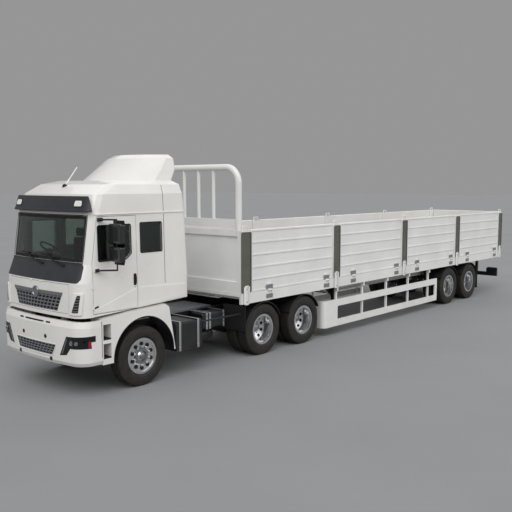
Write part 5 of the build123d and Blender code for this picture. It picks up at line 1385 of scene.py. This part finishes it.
@dataclass
class Wheels(Assembly):
    """Tyres with cut treads, wheel nuts, painted shade in the hand holes, hub caps and valves."""

    radius: float = 0.525
    bead: float = 0.2865
    tyre_half: float = 0.14
    rim_half: float = 0.115
    twin_spacing: float = 0.325
    bolts: int = 10
    steps: int = 160

    def build(self) -> None:
        """Model each thing once and copy it to every wheel."""
        rib = self.tyre("rib_tyre", False)
        lug = self.tyre("lug_tyre", True)
        for side in Side:
            self.fit_tyres(side, rib, lug)
            self.fit_nuts(side)
        for piece in (rib, lug):
            bpy.data.objects.remove(piece)

    def tyre(self, name: str, lugs: bool) -> Piece:
        """A tyre about the origin, turning on the x axis, its outer wall towards +x.

        Args:
            name: the piece's name.
            lugs: whether its shoulders are cut into blocks, as on a driven axle.

        Returns:
            The tyre.
        """
        top = self.radius
        groove = top - 0.014
        half = [(0.0, top), (0.012, top), (0.015, groove), (0.023, groove), (0.026, top), (0.056, top),
                (0.059, groove), (0.067, groove), (0.070, top), (0.102, top - 0.001), (0.113, top - 0.007),
                (0.122, top - 0.020), (0.127, top - 0.030), (0.1265, top - 0.034), (0.131, top - 0.045),
                (0.137, top - 0.075), (0.1400, top - 0.110), (0.1385, top - 0.135), (0.1350, top - 0.155),
                (0.1362, top - 0.158), (0.1285, top - 0.178), (0.1170, top - 0.194), (0.1085, top - 0.203),
                (0.1085, top - 0.209), (0.1040, self.bead + 0.018), (0.1020, self.bead)]
        inner = [(0.072, self.bead), (0.078, 0.320), (0.104, 0.350), (0.116, 0.410), (0.112, 0.462), (0.096, 0.488)]
        profile = [(-x, r) for x, r in reversed(half[1:])] + half + inner + [(-x, r) for x, r in reversed(inner)]
        tyre = Bench.lathe(name, profile, (0.0, 0.0, 0.0), LEFT, self.steps)
        turn = 2 * math.pi / self.steps
        every = 4 if lugs else 5

        def cut(centre: Vector, normal: Vector) -> bool:
            """Whether a face of the tread lies in a cross groove."""
            radius = math.hypot(centre.y, centre.z)
            number = int(round(math.atan2(centre.z, centre.y) / turn - 0.5))
            band = abs(centre.x)
            outer = 0.070 < band < 0.113 and radius > top - 0.006
            inner_rib = lugs and 0.026 < band < 0.056 and radius > top - 0.002
            return (outer and number % every == 0) or (inner_rib and (number + 2) % every == 0)

        Bench.pick_faces(tyre, cut)
        bpy.ops.mesh.inset(thickness=0.0012, depth=0.0, use_individual=False)
        bpy.ops.mesh.inset(thickness=0.0006, depth=-0.010, use_individual=False)
        bpy.ops.object.mode_set(mode="OBJECT")
        return tyre

    def fit_tyres(self, side: Side, rib: Piece, lug: Piece) -> None:
        """Put the tyres of one side in the place of the CAD's."""
        fits = [("front_tyre", "front_wheel", rib)]
        fits += [(f"drive_tyres_{k}", f"drive_wheels_{k}", lug) for k in (1, 2)]
        fits += [(f"trailer_tyres_{k}", f"trailer_wheels_{k}", rib) for k in (1, 2)]
        for stem, body, model in fits:
            node = f"{stem}_{side.word}"
            low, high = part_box(node)
            across = high.x - self.tyre_half if side.sign > 0 else low.x + self.tyre_half
            outer = Vector((across, middle(node).y, middle(node).z))
            swing = Matrix.Translation(outer) @ Matrix.Rotation(0.0 if side.sign > 0 else math.pi, 4, "Z")
            tyre = Bench.moved(Bench.copied(model, f"{node}_tread"), swing)
            if stem != "front_tyre":
                inner = Matrix.Translation(outer - LEFT * side.sign * self.twin_spacing)
                swing = inner @ Matrix.Rotation(math.pi if side.sign > 0 else 0.0, 4, "Z")
                twin = Bench.moved(Bench.copied(model, f"{node}_twin"), swing)
                tyre = Bench.joined(f"{node}_tread", [tyre, twin])
            self.place(tyre, f"{body}_{side.word}", Finish.TYRE, "tyre", 35.0, (node,))

    def fit_nuts(self, side: Side) -> None:
        """Nuts, painted shade in the hand holes, hub cap, rim lip and valve on each wheel of one side."""
        fits = [("front_rim", "front_wheel", STEERED_DISC)]
        fits += [(f"{kind}_rims_{k}", f"{kind}_wheels_{k}", TWIN_DISC) for kind in ("drive", "trailer") for k in (1, 2)]
        out = LEFT * side.sign
        for stem, wheel, disc in fits:
            node, body = f"{stem}_{side.word}", f"{wheel}_{side.word}"
            low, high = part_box(node)
            hub = Vector((0.0, middle(node).y, middle(node).z))
            centre = hub + out * ((high.x if side.sign > 0 else -low.x) - self.rim_half)
            self.nuts(node, body, centre, out, disc)
            self.hand_holes(node, body, centre, out, disc)
            cap = Bench.lathe(f"{node}_cap", ((-0.02, 0.0), (0.006, 0.0), (0.005, 0.030), (0.001, 0.045),
                                              (-0.004, 0.060), (-0.018, 0.066), (-0.02, 0.066)),
                              centre + out * (disc.nut_seat + disc.cap_reach), out, 40)
            self.place(cap, body, Finish.SATIN, "rim_steel", 30.0)
            if disc is TWIN_DISC:
                self.rim_lip(node, body, centre, out)
            valve_foot = centre + out * 0.02 + Vector((0.0, 0.19, -0.17))
            valve = Bench.rod(f"{node}_valve", valve_foot, valve_foot + out * 0.055, 0.007, 12, 0.005, edge=0.001)
            self.place(valve, body, Finish.CHROME, "rim_steel")

    def nuts(self, node: str, body: str, centre: Vector, out: Vector, disc: Disc) -> None:
        """The ring of wheel nuts on their washers and studs."""
        seat = centre + out * disc.nut_seat + UP * disc.nut_circle
        nut = Bench.rod("nut", seat - out * 0.001, seat + out * 0.024, 0.0185, 6, edge=0.002)
        washer = Bench.rod("washer", seat - out * 0.001, seat + out * 0.005, 0.023, 16)
        stud = Bench.rod("stud", seat + out * 0.02, seat + out * 0.036, 0.010, 12, edge=0.002)
        ring = Bench.ring_of(Bench.joined(f"{node}_nuts", [nut, washer, stud]), self.bolts, centre, LEFT)
        self.place(ring, body, disc.nut_finish, "rim_steel")

    def hand_holes(self, node: str, body: str, centre: Vector, out: Vector, disc: Disc) -> None:
        """Thin black discs of painted shade over the hand holes, standing for the shadowed openings, and on a steered
        wheel a machined land under the nuts.
        """
        seat = centre + out * disc.hole_seat + UP * disc.hole_circle
        face = (out - UP * disc.hole_lean).normalized()
        # The holes are not cut: each black disc paints the shade inside one hole.
        hole_shade_disc = Bench.rod("hole_shade_disc", seat - face * 0.002, seat + face * 0.004, 0.034, 24, edge=0.0006)
        holes = Bench.ring_of(hole_shade_disc, self.bolts, centre, LEFT)
        holes.name = f"{node}_hand_holes"
        self.place(holes, body, Finish.JOINT_AND_SHADE_BLACK, "rim_steel")
        if disc is STEERED_DISC:
            land = Bench.lathe(f"{node}_land", ((0.0845, 0.098), (0.089, 0.099), (0.090, 0.140), (0.0845, 0.143)),
                               centre, out, 48)
            self.place(land, body, Finish.SATIN, "rim_steel", 30.0)

    def rim_lip(self, node: str, body: str, centre: Vector, out: Vector) -> None:
        """The polished lip inside the outer rim of a twin wheel."""
        profile = ((0.108, 0.275), (0.112, 0.2755), (0.1145, 0.283), (0.1155, 0.300), (0.1155, 0.312),
                   (0.1135, 0.312), (0.1125, 0.285), (0.106, 0.2745))
        lip = Bench.lathe(f"{node}_lip", profile, centre, out, 64)
        self.place(lip, body, Finish.CHROME, "rim_steel")


# ------------------------------------------------------------------ tractor chassis
@dataclass
class Chassis(Assembly):
    """Bright straps on the tanks, walkway, side rail, filler cap, air bottle, tail lamps and mudguard lips."""

    straps: tuple[tuple[float, float, float, int], ...] = (
        (0.84, 1.18, 0.462, 1), (1.295, 1.18, 0.462, 1), (1.80, 0.90, 0.682, 1), (1.885, 0.90, 0.682, 1),
        (2.27, 0.90, 0.682, 1), (0.90, 1.18, 0.462, -1), (1.45, 1.18, 0.462, -1), (2.00, 1.18, 0.462, -1))
    strap_top: float = 1.004
    strap_half: float = 0.026
    guard_face: float = 1.236
    guard_radius: float = 0.5675

    def build(self) -> None:
        """Build every piece of the chassis."""
        self.bright_straps()
        self.walkway()
        self.side_rail()
        self.filler_cap()
        self.air_bottle()
        self.tail_lamps()
        self.guard_lips()

    def guard_lips(self) -> None:
        """The rolled lip along the outer edge of each rear mudguard."""
        reach = self.guard_radius
        for stem, body, front, rear in (("drive_tyres_1", "tractor", 0.60, 0.76),
                                        ("drive_tyres_2", "tractor", 0.76, 0.76),
                                        ("trailer_tyres_1", "trailer", 0.80, 0.80),
                                        ("trailer_tyres_2", "trailer", 0.80, 0.80)):
            hub = middle(f"{stem}_left")
            first, last = (math.asin((z - hub.z) / reach) for z in (front, rear))
            turns = [first + (math.pi - first - last) * i / 28 for i in range(29)]
            line = [(self.guard_face, hub.y - reach * math.cos(turn), hub.z + reach * math.sin(turn)) for turn in turns]
            self.both(Bench.tube(f"guard_lip_{stem}", line, 0.011), body, Finish.GUARD_PLASTIC, "guard_plastic")

    def bright_straps(self) -> None:
        """An L of stainless strip over each tank strap, with its clamp bolt."""
        for number, (y, x, bottom, sign) in enumerate(self.straps, 1):
            outside, top, half = x + 0.006, self.strap_top, self.strap_half
            line = [(0.46, top), (outside, top), (outside, bottom), (outside + 0.004, bottom),
                    (outside + 0.004, top + 0.004), (0.46, top + 0.004)]
            outline = [from_axle(sign * px, y - half, pz) for px, pz in line]
            strip = Bench.plate(f"tank_strap_{number}", outline, (0.0, 2 * half, 0.0), 0.0012)
            bolt_seat = from_axle(sign * (outside + 0.003), y, bottom + 0.06)
            bolt = Bench.rod("bolt", bolt_seat, bolt_seat + LEFT * sign * 0.014, 0.012, 6, edge=0.0015)
            strip = Bench.joined(f"tank_strap_{number}", [strip, bolt])
            self.place(strip, "tractor", Finish.STEEL, "chassis_paint", 30.0)

    def walkway(self) -> None:
        """The gridded tread over the rails behind the cab."""
        low, high = from_axle(-0.40, 1.18, 1.0005), from_axle(0.40, 2.42, 1.030)
        tread = Bench.divided(Bench.block("walkway", low, high), 15)
        tread = Bench.sink(tread, lambda centre, normal: normal.z > 0.9, 0.006, 0.014, each=True)
        self.place(tread, "tractor", Finish.GALVANISED, "chassis_paint", 30.0)

    def side_rail(self) -> None:
        """The black tube from the left tank to the mudguard."""
        rail = [from_axle(1.15, 1.39, 0.945), from_axle(1.15, 1.46, 0.925), from_axle(1.15, 2.48, 0.925),
                from_axle(1.15, 2.543, 0.915)]
        tube = Bench.tube("side_rail", rail, 0.017, corner=0.03)
        self.place(tube, "tractor", Finish.CHASSIS_PAINT, "chassis_paint")

    def filler_cap(self) -> None:
        """The fuel tank's filler cap with its grip bars."""
        seat = from_axle(-1.08, 1.7, 0.99)
        profile = ((-0.002, 0.0), (0.040, 0.0), (0.038, 0.048), (0.030, 0.056), (0.004, 0.058), (0.0, 0.072),
                   (-0.002, 0.072))
        cap = Bench.lathe("filler_cap", profile, seat, UP, 40)
        bar = Bench.block("bar", seat + Vector((-0.05, -0.008, 0.036)), seat + Vector((0.05, 0.008, 0.050)), 0.004)
        self.place(Bench.joined("filler_cap", [cap, bar]), "tractor", Finish.BLACK_PLASTIC, "chassis_paint")

    def air_bottle(self) -> None:
        """The air bottle along the left rail, with its bands and hangers."""
        centre, half_span = from_axle(0.73, 1.78, 0.56), 0.17
        profile = ((-0.30, 0.0), (-0.295, 0.05), (-0.28, 0.085), (-0.255, 0.105), (0.255, 0.105), (0.28, 0.085),
                   (0.295, 0.05), (0.30, 0.0))
        band = ((-0.015, 0.1045), (-0.015, 0.109), (0.015, 0.109), (0.015, 0.1045))
        pieces = [Bench.lathe("air_bottle_1", profile, centre, BACK, 36)]
        pieces += [Bench.lathe("band", band, centre + BACK * dy, BACK, 36) for dy in (-half_span, half_span)]
        pieces += [Bench.block("hanger", centre + Vector((-0.03, dy - 0.015, 0.09)),
                               centre + Vector((0.03, dy + 0.015, 0.14)), 0.003) for dy in (-half_span, half_span)]
        self.place(Bench.joined("air_bottle", pieces), "tractor", Finish.CHASSIS_PAINT, "chassis_paint")

    def tail_lamps(self) -> None:
        """A red lens over each lamp block at the tractor's tail."""
        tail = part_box("tractor_frame")[1].y
        lens = Bench.block("tractor_tail_lamp", (0.448, tail - 0.001, 0.825), (0.592, tail + 0.006, 0.915), 0.004)
        self.both(lens, "tractor", Finish.RED, "lamp_glass")


# ------------------------------------------------------------------ bed
@dataclass
class BedSides(Assembly):
    """Hinge plates and caps of the drop sides, and the faces, catches, pins and loops of the posts."""

    wall: float = 1.25
    boards: int = 4
    hinges: Pair = (0.56, 0.23)
    plate_half: float = 0.105
    foot: float = 1.345
    post_half: float = 0.14
    post_top: float = 2.56
    tail_wall: float = 0.0605

    def build(self) -> None:
        """Build every piece of the bed's sides."""
        for side in Side:
            for index in range(1, self.boards + 1):
                self.dress_board(side, index)
            self.dress_posts(side)
        self.dress_tailgate()

    def cap_section(self, name: str, low: Vector, high: Vector) -> Piece:
        """The rounded cap along a board's top edge."""
        x = (low.x + self.wall - 0.004) / 2
        return Bench.tube(name, [(x, low.y + 0.002, high.z - 0.004), (x, high.y - 0.002, high.z - 0.004)], 0.0195,
                          resolution=4)

    def grid_plate(self, name: str, low: Point, high: Point, cells: tuple[int, int]) -> Piece:
        """A pressed plate whose outer face (the +x one) is a grid of pockets."""
        Bench.clear()
        bpy.ops.mesh.primitive_grid_add(x_subdivisions=cells[0], y_subdivisions=cells[1], size=1)
        piece = Bench.settle(name)
        for vertex in piece.data.vertices:
            share, up = vertex.co.x + 0.5, vertex.co.y + 0.5
            vertex.co = (high[0] - 0.004, low[1] + (high[1] - low[1]) * share, low[2] + (high[2] - low[2]) * up)
        piece = Bench.wall(piece, high[0] - low[0] - 0.004, -LEFT)
        return Bench.sink(piece, lambda centre, normal: normal.x > 0.9, 0.004, -0.004, each=True)

    def dress_board(self, side: Side, index: int) -> None:
        """The rounded top of one board and the plates at both of its hinges."""
        node = f"board_{side.word}_{index}"
        low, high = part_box(f"board_left_{index}")
        cap = self.cap_section(f"{node}_cap", low, high)
        self.fit(side, [cap], f"{node}_cap", node, Finish.BED_PAINT, "bed_paint")
        uppers, lowers = [], []
        for y in (low.y + self.hinges[0], high.y - self.hinges[1]):
            y0, y1 = y - self.plate_half, y + self.plate_half
            uppers.append(self.grid_plate("upper", (self.wall + 0.0025, y0, 1.352), (self.wall + 0.010, y1, 1.445),
                                          (4, 2)))
            lowers.append(self.grid_plate("lower", (self.wall + 0.0003, y0, 1.165), (self.wall + 0.010, y1, 1.252),
                                          (4, 2)))
            for dy in (-0.078, 0.078):
                seat = Vector((self.wall + 0.008, y + dy, 1.209))
                lowers.append(Bench.rod("bolt", seat, seat + LEFT * 0.008, 0.010, 6, edge=0.001))
        self.fit(side, uppers, f"{node}_hinge_plates", node, Finish.GALVANISED, "bed_paint")
        self.fit(side, lowers, f"{node}_rave_plates", "trailer", Finish.GALVANISED, "bed_paint")

    def fit(self, side: Side, pieces: list[Piece], name: str, body: str, finish: Finish, slot: str) -> None:
        """Join left-hand pieces and place them on one side of the lorry."""
        piece = Bench.joined(name, pieces)
        if side is Side.RIGHT:
            twin = Bench.mirrored(piece, name + "_twin")
            bpy.data.objects.remove(piece)
            twin.name = name
            piece = twin
        self.place(piece, body, finish, slot, 30.0)

    def dress_posts(self, side: Side) -> None:
        """The olive face, the white catch with its pins and the loop of every post on one side."""
        first_board, second_board = (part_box(f"board_left_{index}")[0].y for index in (1, 2))
        step = second_board - first_board
        first = first_board - 0.009 - self.post_half
        faces, catches, pins, loops = [], [], [], []
        for index in range(self.boards + 1):
            y = first + step * index
            edge = 0.003 if index == 0 else 0.05
            face = Bench.block("face", (self.wall + 0.0003, y - self.post_half + edge, self.foot),
                               (self.wall + 0.006, y + self.post_half - 0.003, self.post_top - 0.006), 0.002)
            face = Bench.sink(face, lambda centre, normal: normal.x > 0.9 and abs(centre.z - 1.95) < 0.3, 0.018, 0.003)
            faces.append(face)
            bar = Bench.block("bar", (self.wall + 0.0065, y - 0.05, 1.10), (self.wall + 0.024, y + 0.05, 1.49), 0.005)
            catches.append(Bench.sink(bar, lambda centre, normal: normal.x > 0.9 and abs(centre.z - 1.295) < 0.1,
                                      0.014, 0.006))
            for z in (1.16, 1.42):
                seat = Vector((self.wall + 0.016, y, z))
                pins.append(Bench.rod("pin", seat, seat + LEFT * 0.010, 0.014, 16, edge=0.002))
            x = self.wall - 0.0275
            half, foot, head = 0.085, self.post_top + 0.012, self.post_top + 0.105
            line = [(x, y - half, foot), (x, y - half, head), (x, y + half, head), (x, y + half, foot)]
            loops.append(Bench.tube("loop", line, 0.011, corner=0.025))
        word = side.word
        self.fit(side, faces, f"post_faces_{word}", "trailer", Finish.POST_PAINT, "post_paint")
        self.fit(side, catches, f"post_catches_{word}", "trailer", Finish.BED_PAINT, "bed_paint")
        self.fit(side, pins, f"post_pins_{word}", "trailer", Finish.GALVANISED, "bed_paint")
        self.fit(side, loops, f"post_loops_{word}", "trailer", Finish.BED_PAINT, "bed_paint")

    def dress_tailgate(self) -> None:
        """The rounded top of the tailgate and a catch at each end."""
        low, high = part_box("tailgate")
        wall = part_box("trailer_deck")[1].y + self.tail_wall
        y = wall - 0.023
        cap = Bench.tube("tailgate_cap", [(low.x + 0.002, y, high.z - 0.004), (high.x - 0.002, y, high.z - 0.004)],
                         0.0195, resolution=4)
        self.place(cap, "tailgate", Finish.BED_PAINT, "bed_paint")
        catch = Bench.block("tailgate_catch", (1.06, wall - 0.003, 2.25), (1.17, wall + 0.012, 2.33), 0.005)
        lever = Bench.tube("lever", [(1.115, wall + 0.010, 2.31), (1.115, wall + 0.026, 2.27),
                                     (1.115, wall + 0.026, 2.12)], 0.009, corner=0.02)
        self.both(Bench.joined("tailgate_catch", [catch, lever]), "tailgate", Finish.GALVANISED,
                  "bed_paint")


@dataclass
class TrailerRear(Assembly):
    """Lamps and plate on the rear bar, mud flaps and brake chambers."""

    lamp_face: float = 0.0105

    def build(self) -> None:
        """Build every piece at the tail and under the bed."""
        self.rear_lamps()
        self.mud_flaps()
        self.brake_chambers()

    def rear_lamps(self) -> None:
        """Red and amber lenses on each lamp block in a black bezel, and the blank plate between the blocks."""
        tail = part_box("underrun_guards")[1].y
        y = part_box("trailer_deck")[1].y + self.lamp_face
        bezel = Bench.block("rear_lamp_bezel", (0.825, y - 0.001, 0.590), (1.175, y + 0.006, 0.715), 0.004)
        bezel = Bench.sink(bezel, lambda centre, normal: normal.y > 0.9 and abs(centre.x - 1.0) < 0.1, 0.008, 0.004)
        self.both(bezel, "trailer", Finish.BLACK_PLASTIC)
        for name, x0, x1, finish in (("rear_stop_lens", 0.84, 0.955, Finish.RED),
                                     ("rear_turn_lens", 0.96, 1.055, Finish.AMBER),
                                     ("rear_tail_lens", 1.06, 1.16, Finish.RED)):
            lens = Bench.block(name, (x0, y + 0.001, 0.602), (x1, y + 0.012, 0.703), 0.005)
            lens = Bench.sink(lens, lambda centre, normal: normal.y > 0.9 and abs(normal.x) < 0.1, 0.010, 0.002)
            self.both(lens, "trailer", finish, "lamp_glass")
        plate = Bench.block("rear_plate", (-0.26, tail - 0.001, 0.475), (0.26, tail + 0.003, 0.585), 0.0015)
        plate = Bench.sink(plate, lambda centre, normal: normal.y > 0.9, 0.006, 0.001)
        self.place(plate, "trailer", Finish.OPAL)

    def mud_flaps(self) -> None:
        """A ribbed rubber flap behind each rear pair of trailer tyres."""
        y = middle("trailer_tyres_2_left").y + 0.60
        flap = Bench.block("mud_flap", (0.66, y, 0.26), (1.22, y + 0.008, 0.795), 0.002)
        ribs = [Bench.block("rib", (0.72 + k * 0.075, y + 0.007, 0.30), (0.735 + k * 0.075, y + 0.011, 0.74), 0.001)
                for k in range(7)]
        bar = Bench.block("bar", (0.56, y - 0.012, 0.79), (1.22, y + 0.014, 0.83), 0.003)
        stay = Bench.block("stay", (0.53, y - 0.02, 0.78), (0.575, y + 0.02, 1.20), 0.003)
        self.both(Bench.joined("mud_flap", [flap] + ribs), "trailer", Finish.SEAL, "guard_plastic")
        self.both(Bench.joined("mud_flap_stay", [bar, stay]), "trailer", Finish.CHASSIS_PAINT,
                  "chassis_paint")

    def brake_chambers(self) -> None:
        """A spring brake chamber ahead of each driven and trailer axle end."""
        for stem, body in (("drive_tyres_1", "tractor"), ("drive_tyres_2", "tractor"), ("trailer_tyres_1", "trailer"),
                           ("trailer_tyres_2", "trailer")):
            at = Vector((0.385, middle(f"{stem}_left").y - 0.20, 0.56))
            profile = ((-0.09, 0.0), (-0.09, 0.06), (-0.07, 0.078), (-0.006, 0.082), (-0.006, 0.09), (0.006, 0.09),
                       (0.006, 0.082), (0.06, 0.078), (0.08, 0.05), (0.08, 0.0))
            can = Bench.lathe(f"brake_chamber_{stem}", profile, at, BACK, 32)
            push = Bench.rod("push", at + BACK * 0.075, at + BACK * 0.155, 0.010, 12, edge=0.002)
            self.both(Bench.joined(f"brake_chamber_{stem}", [can, push]), body, Finish.CAST_IRON, "cast_iron")


# ------------------------------------------------------------------ studio
@dataclass
class Studio(Assembly):
    """Floor, light and camera."""

    floor_colour: str = "#8e8f90"
    floor_shade: str = "#8a8b8c"
    backdrop: float = 0.305
    sky: float = 0.56
    camera_place: tuple[float, float, float] = (10.62, -14.6355, 3.499)
    azimuth: float = 41.362
    pitch: float = 5.795
    lens_mm: float = 50.0
    sensor_mm: float = 36.0
    view_distance: float = 500.0
    floor_size: float = 400.0
    sun_spread: float = 50.0
    suns: tuple[tuple[str, Point, float], ...] = (
        ("key", (0.55, -0.80, 1.15), 1.55), ("fill", (1.0, 0.35, 0.7), 0.68), ("rear", (-0.8, 0.9, 1.0), 0.345))

    def build(self) -> None:
        """Set the whole studio up."""
        self.floor()
        for name, towards, strength in self.suns:
            self.sun(name, towards, strength)
        self.world()
        self.camera()
        bpy.context.scene.view_settings.view_transform = "Standard"

    def floor(self) -> None:
        """A matt grey floor."""
        Bench.clear()
        bpy.ops.mesh.primitive_plane_add(size=self.floor_size)
        floor = Bench.settle("studio_floor")
        look = Look("matt_floor_paint")
        cloud = look.noise(2500, 3.0)
        tone = look.spread(cloud, 0.3, 0.7)
        colour = look.mix(tone, self.floor_colour, self.floor_shade)
        floor.data.materials.append(look.shade({"Base Color": colour, "Roughness": 0.9, "Specular IOR Level": 0.2}))

    def sun(self, name: str, towards: Point, strength: float) -> None:
        """One very broad, soft lamp that shines from a direction."""
        data = bpy.data.lights.new(name, "SUN")
        data.energy = strength
        data.angle = math.radians(self.sun_spread)
        lamp = bpy.data.objects.new(name, data)
        lamp.rotation_euler = Vector(towards).to_track_quat("Z", "Y").to_euler()
        bpy.context.scene.collection.objects.link(lamp)

    def world(self) -> None:
        """An even surround, with the lit floor's tone where it is seen, mirrored or looked at through glass."""
        world = bpy.data.worlds.new("studio")
        world.use_nodes = True
        tree = world.node_tree
        seen = [add_node(tree, "LightPath", output, {})
                for output in ("Is Camera Ray", "Is Glossy Ray", "Is Transmission Ray")]
        first = add_node(tree, "Math", 0, {0: seen[0], 1: seen[1]}, operation="MAXIMUM")
        any_seen = add_node(tree, "Math", 0, {0: first, 1: seen[2]}, operation="MAXIMUM")
        tone = add_node(tree, "MapRange", "Result", {"Value": any_seen, "To Min": self.sky, "To Max": self.backdrop})
        feed(tree, tree.nodes["Background"], {"Strength": tone, "Color": "#ffffff"})
        bpy.context.scene.world = world

    def camera(self) -> None:
        """The camera, turned by its azimuth and pitch."""
        data = bpy.data.cameras.new("camera")
        data.lens = self.lens_mm
        data.sensor_width = self.sensor_mm
        data.clip_end = self.view_distance
        camera = bpy.data.objects.new("camera", data)
        camera.location = self.camera_place
        camera.rotation_euler = (math.radians(90 - self.pitch), 0.0, math.radians(self.azimuth))
        bpy.context.scene.collection.objects.link(camera)
        bpy.context.scene.camera = camera


def main() -> None:
    """Build the looks in order and report each group."""
    logging.basicConfig(level=logging.INFO, format="%(message)s")
    dress_nodes()
    for group in (Studio(), CabFront(), CabSides(), CabInside(), Bumper(), Wheels(), Chassis(), BedSides(),
                  TrailerRear()):
        LOG.info("building %s", type(group).__name__)
        group.build()
    Bench.clear()


if __name__ == "__main__":
    main()
